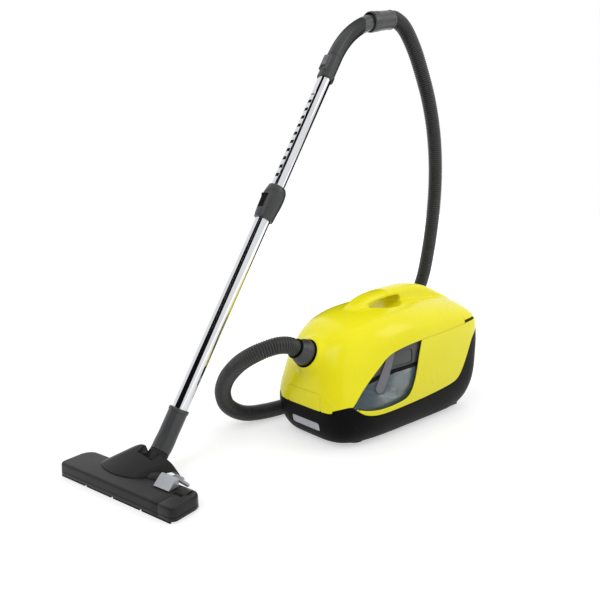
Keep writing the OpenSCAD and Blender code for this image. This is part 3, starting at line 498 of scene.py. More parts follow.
WINDOW_HIGH = [(-225, 107), (-201, 138), (-177, 162), (-152, 184), (-121, 207), (-90, 218.5), (-46, 226.5),
               (2, 231)]
SIDE_SEAM = [(2, 231), (86, 237), (174, 243.5), (232, 249), (320, 256)]
SEAM = 0.8


def eased(points, steps=6):
    """A smooth curve through points: Catmull-Rom, with the end points kept."""
    points = np.asarray(points, float)
    ghost = np.vstack([2 * points[0] - points[1], points, 2 * points[-1] - points[-2]])
    t = (np.arange(steps) / steps)[:, None]
    parts = []
    for a, b, c, d in zip(ghost, ghost[1:], ghost[2:], ghost[3:]):
        parts.append(0.5 * (2 * b + (c - a) * t + (2 * a - 5 * b + 4 * c - d) * t ** 2
                            + (3 * b - 3 * c + d - a) * t ** 3))
    return np.vstack(parts + [points[-1:]])


print("fine levels:", len(eased(LEVELS)))

# %% A grid of points round the canister
STEP = 3.2
GRID_LOW = np.array([-153.6, -312.0, -5.0])
GRID_SIZE = (97, 187, 115)
FIELD_REACH = 25.0
grid_x, grid_y, grid_z = (GRID_LOW[i] + STEP * np.arange(GRID_SIZE[i]) for i in range(3))
X = grid_x[:, None, None]
Y = grid_y[None, :, None]
Z = grid_z[None, None, :]


def limited(field):
    return np.clip(field, -FIELD_REACH, FIELD_REACH)


def to_distance(field):
    """Divides a field by its own slope, so that near its zero it grows by one for each millimetre."""
    field = field.astype(np.float32)
    slope = np.sqrt(sum(g * g for g in np.gradient(field, STEP)))
    return limited(field / np.maximum(slope, 1e-4))


def soft_union(a, b, radius):
    """What lies inside either field, with a rounded root. It is also a smooth minimum of any two numbers."""
    mix = np.clip(0.5 + 0.5 * (b - a) / radius, 0, 1)
    return b * (1 - mix) + a * mix - radius * mix * (1 - mix)


def soft_cut(a, b, radius):
    """What of a lies outside b, with a rounded edge."""
    return -soft_union(-a, b, radius)


def crossed(a, b, radius):
    """What lies inside both fields, with a rounded edge."""
    return -soft_union(-a, -b, radius)


def skin_field():
    """The bare casing: at each y, z the level that passes there gives the width and the roundness."""
    fine = eased(LEVELS)
    front, rear, half_width, round_front, round_rear, z_front, z_middle, z_rear = fine.T
    middle, half = (front + rear) / 2, (rear - front) / 2
    share = np.clip((grid_y[:, None] - middle) / half, -1, 1)
    height = (z_middle + (z_rear - z_front) / 2 * share + ((z_rear + z_front) / 2 - z_middle) * share ** 2)
    level = np.empty((len(grid_y), len(grid_z)))
    for i, row in enumerate(height):
        level[i] = np.interp(grid_z, row, np.arange(len(fine)))
    index = np.arange(len(fine))
    wide, mid, reach = (np.interp(level, index, column) for column in (half_width, middle, half))
    along = (grid_y[:, None] - mid) / reach
    power = np.where(along < 0, np.interp(level, index, round_front), np.interp(level, index, round_rear))
    body = (np.abs(X / wide[None]) ** power[None] + np.abs(along[None]) ** power[None]) ** (1 / power[None]) - 1
    body = to_distance(body)
    low, high = height[:, 0], height[:, -1]
    ends = np.maximum(low[None, :, None] - Z, Z - high[None, :, None])
    return crossed(body, limited(ends), 5.0).astype(np.float32)


def spine_field():
    """The ridge along the middle of the hood, which becomes the handle."""
    y, top, half, foot = eased(SPINE).T
    top, half, foot = (np.interp(grid_y, y, column)[None, :, None] for column in (top, half, foot))
    rise = np.maximum(Z - foot, 0) / (top - foot)
    ridge = (np.abs(X / half) ** 4 + rise ** 4) ** (1 / 4) - 1
    ends = np.maximum(SPINE[0, 0] - Y, Y - SPINE_END)
    return np.maximum(to_distance(ridge), limited(np.maximum(ends, foot - SPINE_ROOT - Z)))


def boss_field():
    """The cone that grows out of the front slope for the inlet."""
    across = np.sqrt(X ** 2 + ((Y - INLET[1]) * INLET_OUT[2] - (Z - INLET[2]) * INLET_OUT[1]) ** 2)
    along = (Y - INLET[1]) * INLET_OUT[1] + (Z - INLET[2]) * INLET_OUT[2]
    # the factor is near the cosine of the cone's slope, which keeps the field's growth near one per millimetre
    cone = (across - (BOSS_RADIUS + (BOSS_TOP - along) * BOSS_FLARE / BOSS_LENGTH)) * 0.98
    return crossed(cone, np.maximum(along - BOSS_TOP, -BOSS_ROOT - along), 5.0)


def hollow_field():
    """The finger gap under the handle: a flat egg that stops under the bar."""
    egg = np.sqrt((X / HOLLOW_HALF[0]) ** 2 + ((Y - HOLLOW_CENTRE[1]) / HOLLOW_HALF[1]) ** 2
                  + ((Z - HOLLOW_CENTRE[2]) / HOLLOW_HALF[2]) ** 2) - 1
    y, top, _, _ = eased(SPINE).T
    bar = Z - (np.interp(grid_y, y, top)[None, :, None] - HANDLE_THICKNESS)
    return crossed(to_distance(egg), bar, 9.0)


skin = skin_field()
body_field = soft_union(soft_union(skin, spine_field(), 4.0), boss_field(), 16.0)
body_field = soft_cut(body_field, hollow_field(), 5.0)
print("grid of", body_field.size, "points, inside", int((body_field < 0).sum()))

# %% [markdown]
# ## From a field to a surface
# A point is set in every grid cell that the surface crosses, at the middle of the crossings, and neighbours
# are joined by squares. This way is known as surface nets. It was chosen over a boolean of solids because its
# squares are even, so the plastic shades smoothly. A few rounds of smoothing, each followed by a slightly
# stronger step back, take out the grid's steps without shrinking the form.

# %% Surface nets
def surface(field, level=0.0, low=GRID_LOW, step=STEP, rounds=8):
    """Points and squares of the surface where the field crosses level."""
    value = field - level
    inside = value < 0
    shape = np.array(field.shape)
    cells = tuple(shape - 1)
    total, count = np.zeros(cells + (3,), np.float32), np.zeros(cells, np.float32)
    corners = [np.array(c) for c in np.ndindex(2, 2, 2)]

    def view(array, corner):
        return array[tuple(slice(c, c + n) for c, n in zip(corner, cells))]

    for axis in range(3):
        for corner in corners:
            if corner[axis]:
                continue
            other = corner.copy()
            other[axis] = 1
            a, b = view(value, corner), view(value, other)
            meets = view(inside, corner) != view(inside, other)
            t = np.where(meets, a / np.where(meets, a - b, 1), 0)
            for k in range(3):
                total[..., k] += np.where(meets, corner[k] + (t if k == axis else 0), 0)
            count += meets
    filled = count > 0
    number = np.full(cells, -1, np.int64)
    number[filled] = np.arange(filled.sum())
    points = (np.argwhere(filled) + total[filled] / count[filled][:, None]) * step + low
    faces = []
    for axis in range(3):
        u, v = (axis + 1) % 3, (axis + 2) % 3
        first = [slice(None)] * 3
        second = [slice(None)] * 3
        first[axis], second[axis] = slice(0, -1), slice(1, None)
        change = inside[tuple(first)] != inside[tuple(second)]
        out = inside[tuple(first)]
        at = np.argwhere(change)
        at = at[(at[:, u] > 0) & (at[:, v] > 0) & (at[:, u] < cells[u]) & (at[:, v] < cells[v])]
        flip = out[tuple(at.T)]
        square = []
        for du, dv in ((0, 0), (1, 0), (1, 1), (0, 1)):
            cell = at.copy()
            cell[:, u] -= du
            cell[:, v] -= dv
            square.append(number[tuple(cell.T)])
        square = np.stack(square, 1)
        square[~flip] = square[~flip][:, ::-1]
        faces.append(square)
    faces = np.concatenate(faces)
    return smoothed(points, faces, rounds), faces


def smoothed(points, faces, rounds, step_in=0.5, step_back=-0.53):
    """Moves each point towards its neighbours' middle and a little further back, in several rounds."""
    ends = np.concatenate([faces[:, [i, (i + 1) % faces.shape[1]]] for i in range(faces.shape[1])])
    ends = np.concatenate([ends, ends[:, ::-1]])
    degree = np.bincount(ends[:, 0], minlength=len(points))[:, None]
    degree = np.maximum(degree, 1)
    for _ in range(rounds):
        for strength in (step_in, step_back):
            total = [np.bincount(ends[:, 0], points[ends[:, 1], k], len(points)) for k in range(3)]
            points = points + strength * (np.stack(total, 1) / degree - points)
    return points


# %% [markdown]
# ## Shares of the skin
# A share is a second number, given at each point of the skin: how far it lies inside the border of its piece.
# The skin is cut where the share is zero. Points that nearly touch the border are first moved onto it, so no
# slivers are left to spoil the rounded rim.

# %% Cut a surface at its share's border
NEAR_BORDER = 0.38


def inside_outline(points, outline, axes=(1, 2)):
    """Distance inside a closed outline, positive inside, seen along the third axis."""
    p = points[:, axes]
    a = np.asarray(outline, float)
    b = np.roll(a, -1, 0)
    best = np.full(len(p), 1e9)
    odd = np.zeros(len(p), bool)
    for s, e in zip(a, b):
        d = e - s
        length = d @ d
        if length < 1e-9:
            continue
        t = np.clip(((p - s) @ d) / length, 0, 1)
        best = np.minimum(best, np.linalg.norm(p - s - t[:, None] * d, axis=1))
        crosses = (s[1] > p[:, 1]) != (e[1] > p[:, 1])
        x = s[0] + (p[:, 1] - s[1]) * d[0] / (d[1] if abs(d[1]) > 1e-12 else 1e-12)
        odd ^= crosses & (p[:, 0] < x)
    return np.where(odd, best, -best)


def cut(points, faces, share):
    """Keeps the part of a mesh where share is positive, with clean points along the border."""
    faces = np.asarray(faces)
    if faces.shape[1] == 4:
        faces = np.concatenate([faces[:, [0, 1, 2]], faces[:, [0, 2, 3]]])
    points, share = points.copy(), share.copy()
    edges = np.concatenate([faces[:, [0, 1]], faces[:, [1, 2]], faces[:, [2, 0]]])
    i, j = np.unique(np.sort(edges, 1), axis=0).T
    crossing = share[i] * share[j] < 0
    i, j = i[crossing], j[crossing]
    t = share[i] / (share[i] - share[j])
    places = points[i] + t[:, None] * (points[j] - points[i])
    best = {}
    for a, b, s, place in zip(i, j, t, places):
        for v, part in ((a, s), (b, 1 - s)):
            if part < NEAR_BORDER and part < best.get(v, (1, None))[0]:
                best[v] = (part, place)
    for v, (_, place) in best.items():
        points[v], share[v] = place, 0.0
    sign = np.sign(share[faces]).astype(int)
    whole = (sign >= 0).all(1) & (sign > 0).any(1)
    mixed = (sign > 0).any(1) & (sign < 0).any(1)
    added, new_points, new_faces = {}, [], []

    def between(a, b):
        key = (min(a, b), max(a, b))
        if key not in added:
            s = share[a] / (share[a] - share[b])
            added[key] = len(points) + len(new_points)
            new_points.append(points[a] + s * (points[b] - points[a]))
        return added[key]

    for face in faces[mixed]:
        ring = []
        for a, b in zip(face, np.roll(face, -1)):
            if share[a] >= 0:
                ring.append(a)
            if share[a] * share[b] < 0:
                ring.append(between(a, b))
        new_faces += [(ring[0], ring[k], ring[k + 1]) for k in range(1, len(ring) - 1)]
    all_points = np.concatenate([points, np.array(new_points).reshape(-1, 3)])
    kept = np.concatenate([faces[whole], np.array(new_faces, int).reshape(-1, 3)])
    used, kept = np.unique(kept, return_inverse=True)
    return all_points[used], kept.reshape(-1, 3)


def shell(name, points, faces, thickness, body, slot, material, node, rim=0.5, even=True):
    """An open surface gets its wall inwards and a rounded rim."""
    piece = make(name, points, faces, body, slot, material, node)
    wall = piece.modifiers.new("wall", "SOLIDIFY")
    wall.thickness, wall.offset, wall.use_even_offset = thickness * MM, -1, even
    if rim:
        bevel = piece.modifiers.new("rim", "BEVEL")
        bevel.width, bevel.segments, bevel.limit_method = rim * MM, 2, "ANGLE"
        bevel.angle_limit = math.radians(50)
    apply_modifiers(piece)
    print(name, "has", len(piece.data.polygons), "faces")
    return piece


# %% [markdown]
# ## The hose
# A suction hose is a thin wall wound over a wire, so it is ribbed all along. Its line is laid first: out of
# the inlet, round in a loop to the floor, along the far side, up behind the handle and into the cuff.
# A Geometry Nodes tree then swells and pinches the tube once for each rib, because a rule that follows a
# path is what nodes are good at.

# %% The hose's line
HOSE_ROUTE = [
    (-6, -340, 246), (-26, -374, 234), (-60, -394, 210), (-100, -396, 178), (-140, -387, 143), (-174, -372, 100),
    (-190, -346, 57), (-186, -300, 28), (-175, -235, 21), (-171, -145, 21), (-177, -40, 24), (-186, 55, 34),
    (-190, 141, 58), (-186, 219, 99), (-170, 280, 160), (-142, 321, 235), (-118, 340, 320), (-102, 343, 407),
    (-90, 342, 495), (-81, 337, 584), (-75, 326, 672), (-73, 308, 760), (-74, 280, 845), (-76, 240, 925),
    (-76, 205, 976), (-76, 165, 1015)]
hose_points = [HOSE_START - 20 * INLET_OUT, HOSE_START, HOSE_START + 20 * INLET_OUT, *HOSE_ROUTE,
               HOSE_END + 20 * CUFF_OUT, HOSE_END, HOSE_END - 20 * CUFF_OUT]
hose_line = eased(hose_points, 8)[8:-8]


# %% A node tree that makes a ribbed tube
def ribbed_tube_tree():
    """A line becomes a tube that is pinched by Rib Depth once in each Rib Pitch, all in metres."""
    tree = bpy.data.node_groups.new("ribbed_tube", "GeometryNodeTree")
    face = tree.interface
    face.new_socket(name="Line", in_out="INPUT", socket_type="NodeSocketGeometry")
    for label, value in (("Radius", 0.02), ("Rib Depth", 0.0024), ("Rib Pitch", 0.0056)):
        face.new_socket(name=label, in_out="INPUT", socket_type="NodeSocketFloat").default_value = value
    face.new_socket(name="Finish", in_out="INPUT", socket_type="NodeSocketMaterial")
    face.new_socket(name="Tube", in_out="OUTPUT", socket_type="NodeSocketGeometry")
    given, result = tree.nodes.new("NodeGroupInput"), tree.nodes.new("NodeGroupOutput")

    def node(kind, **settings):
        made = tree.nodes.new(kind)
        for key, value in settings.items():
            setattr(made, key, value)
        return made

    def maths(operation, a, b=None, c=None):
        made = node("ShaderNodeMath", operation=operation)
        for i, value in enumerate((a, b, c)):
            if value is None:
                continue
            if isinstance(value, (int, float)):
                made.inputs[i].default_value = value
            else:
                tree.links.new(value, made.inputs[i])
        return made.outputs[0]

    step = maths("DIVIDE", given.outputs["Rib Pitch"], 6)
    even = node("GeometryNodeResampleCurve", mode="LENGTH")
    tree.links.new(given.outputs["Line"], even.inputs["Curve"])
    tree.links.new(step, even.inputs["Length"])
    along = node("GeometryNodeSplineParameter").outputs["Length"]
    turn = maths("MULTIPLY", maths("DIVIDE", along, given.outputs["Rib Pitch"]), 2 * math.pi)
    wave = maths("POWER", maths("ABSOLUTE", maths("SINE", maths("MULTIPLY", turn, 0.5))), 0.7)
    pinch = maths("MULTIPLY", maths("SUBTRACT", 1.0, wave), given.outputs["Rib Depth"])
    radius = maths("SUBTRACT", given.outputs["Radius"], pinch)
    swell = node("GeometryNodeSetCurveRadius")
    tree.links.new(even.outputs["Curve"], swell.inputs["Curve"])
    tree.links.new(radius, swell.inputs["Radius"])
    ring = node("GeometryNodeCurvePrimitiveCircle")
    ring.inputs["Resolution"].default_value, ring.inputs["Radius"].default_value = 28, 1.0
    tube = node("GeometryNodeCurveToMesh")
    tube.inputs["Fill Caps"].default_value = True
    tree.links.new(swell.outputs["Curve"], tube.inputs["Curve"])
    tree.links.new(ring.outputs["Curve"], tube.inputs["Profile Curve"])
    if "Scale" in tube.inputs:
        tree.links.new(radius, tube.inputs["Scale"])
    real = node("GeometryNodeRealizeInstances")
    paint = node("GeometryNodeSetMaterial")
    tree.links.new(tube.outputs["Mesh"], real.inputs["Geometry"])
    tree.links.new(real.outputs["Geometry"], paint.inputs["Geometry"])
    tree.links.new(given.outputs["Finish"], paint.inputs["Material"])
    tree.links.new(paint.outputs["Geometry"], result.inputs["Tube"])
    return tree


# %% Make the hose
line = bpy.data.curves.new("suction_hose", "CURVE")
line.dimensions = "3D"
spline = line.splines.new("POLY")
spline.points.add(len(hose_line) - 1)
for point, place in zip(spline.points, hose_line):
    point.co = (*to_row(place), 1)
hose_curve = bpy.data.objects.new("hose_line", line)
bpy.context.scene.collection.objects.link(hose_curve)
ribs = hose_curve.modifiers.new("ribs", "NODES")
ribs.node_group = ribbed_tube_tree()
set_inputs(ribs, Radius=HOSE_RADIUS * MM, Finish=bpy.data.materials["hose_rubber"])
hose_mesh = bpy.data.meshes.new_from_object(hose_curve.evaluated_get(bpy.context.evaluated_depsgraph_get()))
bpy.data.objects.remove(hose_curve)
hose = bpy.data.objects.new("suction_hose", hose_mesh)
bpy.context.scene.collection.objects.link(hose)
tidy(hose, math.radians(80))
declare(hose, "root", "hose_rubber", ["hose"])
print("hose faces:", len(hose.data.polygons))

# %% [markdown]
# ## The yellow casing and the black base
# Each outline below is a side view, as y and z. The window's edge and the base's rear sweep are eased into
# smooth curves, and the gap between neighbours is the seam. Where a piece lies between straight borders,
# such as a pedal or the flap, the share is a rounded rectangle.

# %% Outlines and shares
def lifted(points, by):
    return [(y, z + by) for y, z in points]


def rectangle(points, axes, low, high, corner=0.0):
    """Distance inside a rounded rectangle seen along the third axis, positive inside."""
    low, high = np.array(low, float), np.array(high, float)
    p = np.abs(points[:, axes] - (low + high) / 2) - ((high - low) / 2 - corner)
    return corner - np.linalg.norm(np.maximum(p, 0), axis=1) - np.minimum(p.max(1), 0)


def above(points, line, gap=0.0):
    """Height above a side-view line."""
    y, z = np.array(line, float).T
    return points[:, 2] - np.interp(points[:, 1], y, z) - gap


window_high, window_low = [tuple(p) for p in eased(WINDOW_HIGH)], [tuple(p) for p in eased(WINDOW_LOW)]
front_edge, side_edge = [[tuple(p) for p in eased(part)] for part in (BASE_EDGE[:6], BASE_EDGE[5:])]
HOOD_OUTLINE = [(-320, 400)] + lifted(front_edge[:-1], SEAM) + window_high + SIDE_SEAM[1:] + [(320, 400)]
PANEL_OUTLINE = lifted(side_edge[1:], SEAM) + lifted(SIDE_SEAM, -SEAM)[::-1] + window_low[1:-1][::-1]
BASE_OUTLINE = [(-320, -20)] + front_edge[:-1] + side_edge + [(320, -20)]
PEDAL_LINE = [(190, 245.5), (232, 249), (320, 256)]
PEDAL_INNER, PEDAL_FRONT = 44.0, 190.0
LID_HALF, LID_FRONT, LID_FOOT = 43.2, 185.8, 253.2
FLAP_HALF, FLAP_TOP, FLAP_CORNER, FLAP_BACK = 55.0, 129.0, 7.0, -210.0
BEYOND = 400.0


def pedal_share(points, grow=0.0, floor=6.5):
    """The pedal on the right; grow widens its border for the gap."""
    plan = rectangle(points, (0, 1), (PEDAL_INNER - grow, PEDAL_FRONT - grow), (BEYOND, BEYOND))
    return np.minimum(plan, above(points, PEDAL_LINE, floor))


def lid_share(points, grow=0.0, drop=0.0):
    low = (-LID_HALF - grow, LID_FRONT - grow, LID_FOOT - drop)
    return rectangle(points, (0, 1, 2), low, (LID_HALF + grow, BEYOND, BEYOND + 100))


def flap_share(points, grow=0.0):
    low, high = (-FLAP_HALF - grow, 0), (FLAP_HALF + grow, FLAP_TOP + grow)
    return np.minimum(rectangle(points, (0, 2), low, high, FLAP_CORNER + grow), FLAP_BACK - points[:, 1])


def inlet_distance(points):
    """Distance from the inlet's axis."""
    away = points - INLET
    along = away @ INLET_OUT
    return np.linalg.norm(away - along[:, None] * INLET_OUT, axis=1)


def flipped(points):
    """Points mirrored to the other side of the machine."""
    return points * (-1, 1, 1)


def yellow_piece(name, body, points, faces, share, wall):
    """A piece of the yellow casing: what its share keeps of a surface, with a wall."""
    return shell(name, *cut(points, faces, share), wall, body, "yellow_shell", "yellow_shell", [name])


WALL, PANEL_INSET = 3.0, 0.6
INLET_HOLE = 34.4
outer_points, outer_faces = surface(body_field)
print("the casing has", len(outer_points), "points, from", np.round(outer_points.min(0), 1), "to",
      np.round(outer_points.max(0), 1))

# %% Hood
p = outer_points
share = np.minimum.reduce([
    inside_outline(p, HOOD_OUTLINE), -flap_share(p, SEAM), -pedal_share(p, SEAM, -6),
    -pedal_share(flipped(p), SEAM, -6), -lid_share(p, SEAM, 6), inlet_distance(p) - INLET_HOLE])
yellow_piece("hood", "root", p, outer_faces, share, WALL)

# %% Side panels, flap, filter lid and pedals
panel_points, panel_faces = surface(body_field, -PANEL_INSET)
yellow_piece("side_panels", "root", panel_points, panel_faces, inside_outline(panel_points, PANEL_OUTLINE),
             WALL - PANEL_INSET)
for name, share in (
        ("front_flap", np.minimum(inside_outline(p, HOOD_OUTLINE), flap_share(p))),
        ("filter_lid", lid_share(p)), ("power_pedal", pedal_share(p)),
        ("rewind_pedal", pedal_share(flipped(p)))):
    yellow_piece(name, name, p, outer_faces, share, WALL)

# %% Base
BASE_INSET = 0.4
ROOM_TOP = 20.0
CASTOR_ROOM = 28.4
WHEEL_ROOM_HALF, WHEEL_ROOM_FRONT, WHEEL_ROOM_REAR = 13.8, 134.2, 217.8
END_Y = 240.0
GRILLE_LOW, GRILLE_HIGH = (-92, 69), (92, 197)
GLAND_Z, GLAND_HOLE = 58.0, 8.3
PLATE_HOLE_LOW, PLATE_HOLE_HIGH, PLATE_HOLE_CORNER = (-45.3, 36.0), (47.3, 56.6), 5.0
PLATE_LOW, PLATE_HIGH, PLATE_CORNER, PLATE_WALL = (-44.8, 36.5), (46.8, 56.1), 4.5, 2.6


def castor_room(points, x):
    """Distance outside the round well of a castor, seen from below."""
    away = np.hypot(points[:, 0] - x, points[:, 1] - CASTOR_PIVOT_Y) - CASTOR_ROOM
    return np.maximum(away, points[:, 2] - ROOM_TOP)


def wheel_room(points, x):
    """Distance outside the oblong well of a rear wheel, seen from below."""
    low, high = (x - WHEEL_ROOM_HALF, WHEEL_ROOM_FRONT), (x + WHEEL_ROOM_HALF, WHEEL_ROOM_REAR)
    return np.maximum(-rectangle(points, (0, 1), low, high, 3), points[:, 2] - ROOM_TOP)


base_points, base_faces = surface(skin, -BASE_INSET)
p = base_points
grille = np.maximum(-rectangle(p, (0, 2), GRILLE_LOW, GRILLE_HIGH, 1), END_Y - p[:, 1])
gland = np.maximum(np.hypot(p[:, 0], p[:, 2] - GLAND_Z) - GLAND_HOLE, END_Y - p[:, 1])
plate_hole = -rectangle(p, (0, 2), PLATE_HOLE_LOW, PLATE_HOLE_HIGH, PLATE_HOLE_CORNER)
share = np.minimum.reduce([
    inside_outline(p, BASE_OUTLINE), grille, gland, np.maximum(plate_hole, p[:, 1] + END_Y),
    castor_room(p, -CASTOR_X), castor_room(p, CASTOR_X), wheel_room(p, -WHEEL_X), wheel_room(p, WHEEL_X)])
shell("base", *cut(p, base_faces, share), WALL, "root", "black_shell", "black_shell", ["base"], even=False)
share = np.minimum(rectangle(p, (0, 2), PLATE_LOW, PLATE_HIGH, PLATE_CORNER), -END_Y - p[:, 1])
shell("front_plate", *cut(p, base_faces, share), PLATE_WALL, "root", "silver_plastic", "silver_plastic",
      ["front_plate"])

# %% [markdown]
# ## What shows in the window
# The tank and its lid follow the casing eight millimetres further in, and the seal between them stands out a
# little. Each is closed by a side view of its own, and the field is the nearer of the two borders. The clip
# levers follow the casing too, and lie outside the tank and its lid.

# %% Tank, lid, seal and clips
TANK_INSET, TANK_WALL = 8.0, 2.5
TANK_OUTLINE = [(-212, 56), (44, 56), (44, 190), (-250, 190), (-250, 100)]
TANK_STEP, STEP_DEPTH, STEP_WIDTH = 117.0, 1.2, 0.6
SEAL_LINE = [(-260, 146), (-180, 155), (-150, 162), (-110, 169), (-26, 172), (60, 173)]
SEAL_OUTLINE = [(-242, 130), (50, 130), (50, 200), (-242, 200)]
SEAL_OUT, SEAL_HALF, SEAL_WALL = 1.2, 4.0, 2.6
LID_OUTLINE = lifted(SEAL_LINE[1:-1], 2) + [(44, 174), (44, 231), (-30, 231), (-120, 219), (-190, 196),
                                            (-236, 176), (-236, 150)]
LID_WALL, LID_INLET_HOLE = 2.2, 35.0
RECESS_LOW, RECESS_HIGH, RECESS_CORNER = np.array([-102.0, 180.0]), np.array([-30.0, 214.0]), 8.0
RECESS_SIDE, RECESS_DEPTH, RECESS_GAP = 60.0, 1.6, 0.4
CLIP_OUTLINE = [(-112, 217), (-92, 217), (-117, 160), (-130, 138), (-139, 128), (-153, 127), (-160, 139),
                (-149, 156)]
CLIP_INSET, CLIP_WALL = 4.8, 3.0


def profile_field(outline):
    """A side view as a field that is the same at every x."""
    y, z = np.meshgrid(grid_y, grid_z, indexing="ij")
    points = np.stack([y.ravel() * 0, y.ravel(), z.ravel()], 1)
    return -limited(inside_outline(points, outline)).reshape(1, len(grid_y), len(grid_z)).astype(np.float32)


def recess_share(points, shrink=0.0):
    """Distance inside the recess in the lid's side, positive inside."""
    plan = rectangle(points, (1, 2), RECESS_LOW + shrink, RECESS_HIGH - shrink, RECESS_CORNER - shrink)
    return np.minimum(plan, np.abs(points[:, 0]) - RECESS_SIDE)


step_in = STEP_DEPTH / (1 + np.exp(np.clip((Z - TANK_STEP) / STEP_WIDTH, -30, 30)))
p, faces = surface(crossed(skin + TANK_INSET + step_in, profile_field(TANK_OUTLINE), 6.0), rounds=4)
shell("water_tank", *cut(p, faces, -above(p, SEAL_LINE, -3)), TANK_WALL, "root", "clear_tank", "clear_tank",
      ["water_tank"], rim=0)
p, faces = surface(crossed(skin + TANK_INSET, profile_field(LID_OUTLINE), 5.0), rounds=4)
rim_part = cut(p, faces, np.minimum(-recess_share(p), inlet_distance(p) - LID_INLET_HOLE))
p, faces = surface(crossed(skin + TANK_INSET + RECESS_DEPTH, profile_field(LID_OUTLINE), 5.0), rounds=4)
deep_part = cut(p, faces, recess_share(p, RECESS_GAP))
shell("tank_lid", *joined(rim_part, deep_part), LID_WALL, "root", "dark_grey_plastic", "dark_grey_plastic",
      ["tank_lid"], rim=0.35)
p, faces = surface(crossed(skin + TANK_INSET - SEAL_OUT, profile_field(SEAL_OUTLINE), 2.0))
share = np.minimum(above(p, SEAL_LINE, -SEAL_HALF), -above(p, SEAL_LINE, SEAL_HALF))
shell("tank_seal", *cut(p, faces, share), SEAL_WALL, "root", "black_shell", "black_shell", ())
p, faces = surface(skin, -CLIP_INSET, rounds=4)
shell("tank_clips", *cut(p, faces, inside_outline(p, CLIP_OUTLINE)), CLIP_WALL, "root", "mid_grey_plastic",
      "mid_grey_plastic", ["tank_clips"], rim=0.8)

# %% [markdown]
# ## The wand, from the hose cuff down
# Tubes, cuffs and grips are all drawn about one axis, so each is a sleeve: rings of points whose distance from
# the axis is a rule of angle and height. Seats, recesses and flats are steps in that rule. Angle 0 faces up and
# forward, where the slider, the notches and the lock button sit.

# %% Sleeves
def heights(low, high, step=6.0, rim=1.2, extra=()):
    """Heights of a sleeve's rings: even ones, closer ones at both rounded ends, and stated extra ones."""
    ends = rim * (1 - np.cos(np.linspace(0, math.pi / 2, 5)))
    middle = np.arange(low + rim, high - rim, step)
    return np.unique(np.round(np.concatenate([low + ends, middle, high - ends, np.array(extra, float)]), 3))


def end_round(h, rim=1.2):
    """How far the ends are drawn in, so that the rims are round."""
    near = np.clip(np.minimum(h - h.min(), h.max() - h), 0, rim)
    return rim - np.sqrt(rim ** 2 - (rim - near) ** 2)


def plateau(value, low, high, edge=0.8):
    """One between low and high, zero outside, with a ramp as wide as edge."""
    return np.clip((value - low) / edge, 0, 1) * np.clip((high - value) / edge, 0, 1)


def ring_angles(count=96, extra=()):
    """Angles round a sleeve in radians, with stated extra ones in degrees on both sides."""
    more = np.radians(np.array(extra, float))
    return np.unique(np.round(np.concatenate([np.arange(count) * 2 * math.pi / count, more % (2 * math.pi),
                                              -more % (2 * math.pi)]), 4))


def swept(stations, outer, inner, angles=None):
    """Rings at stations of centre and axis. outer and inner hold a row of radii, or one radius, per station."""
    angles = ring_angles() if angles is None else angles
    count, shape = len(stations), (len(stations), len(angles))
    outer, inner = (np.broadcast_to(np.array(r, float).reshape(count, -1), shape) for r in (outer, inner))
    rings = []
    for (centre, axis), radii in zip(list(stations) * 2, [*outer, *inner]):
        flat = np.stack([radii * np.sin(angles), -radii * np.cos(angles), angles * 0], -1)
        rings.append(carried(flat, basis(centre, axis)))
    rings = rings[:count] + rings[count:][::-1]
    return np.concatenate(rings), ring_faces(2 * count, len(angles), True)


def sleeve(origin, axis, at, radius, bore, angles=None):
    """A straight sleeve: radius(angle, height) outside and bore(height) inside."""
    angles = ring_angles() if angles is None else angles
    a, h = np.meshgrid(angles, at)
    stations = [(origin + z * np.asarray(axis), axis) for z in at]
    return swept(stations, radius(a, h), np.array([bore(z) for z in at]), angles)


# %% [markdown]
# ### Inlet collar, hose connector and cuff
# The connector turns in the collar. Its cone narrows to the hose, and a black rim closes each end.

# %% Collar and connector
at_inlet = basis(INLET, INLET_OUT)
collar_profile = rounded([(27.1, -24), (27.1, 6.6), (33.9, 6.6), (33.9, -24)], 1.4)
make("inlet_collar", *lathe(collar_profile, at_inlet), "root", "black_shell", node=["inlet_collar"])
connector_profile = rounded([
    (17.5, -20), (26.8, -20), (26.8, 7.4), (29.8, 7.4), (30.6, 9.2), (31.2, 15.5), (30.6, 21), (28.2, 27.5),
    (25.2, 34), (23.2, 39), (22.6, 42.2), (17.5, 42.2)], 0.7)
make("hose_connector", *lathe(connector_profile, at_inlet, 96), "hose_connector", "dark_grey_plastic",
     node=["hose_connector"])
rim_profiles = [rounded([(29.0, 7.0), (31.4, 7.0), (31.9, 9.0), (31.6, 11.0), (30.2, 11.2)], 0.6),
                rounded([(20.4, 41.8), (23.4, 41.8), (23.9, 44), (23.2, 46), (20.4, 46)], 0.7)]
make("connector_rims", *joined(*[lathe(profile, at_inlet, 96) for profile in rim_profiles]), "hose_connector",
     "black_shell")
LATCH_TURN = math.radians(48)


def latch(a, h, low, high):
    """A small raised latch on the side that faces forward and out."""
    return plateau(np.degrees(np.abs(a - LATCH_TURN)), -1, 15, 3) * plateau(h, low, high, 1.6)


def cuff_radius(a, h):
    base_line = np.interp(h, [-24, -21, -14, -13, -12.2, 4, 9, 50, 52.5, 53.4, 54, 58],
                          [23.2, 24.7, 25.2, 25.2, 24.4, 24.6, 23.6, 22.9, 23.4, 23.4, 22.6, 22.4])
    return base_line + 1.3 * latch(a, h, -22, -4) - 0.9 * latch(a, h, -18, -8)


def cuff_bore(z):
    """Room for the grip's bow, then for its spigot, then the bore that goes on into the hose."""
    return 21.7 if z < 0.4 else 17.6 if z < 24 else 15.5


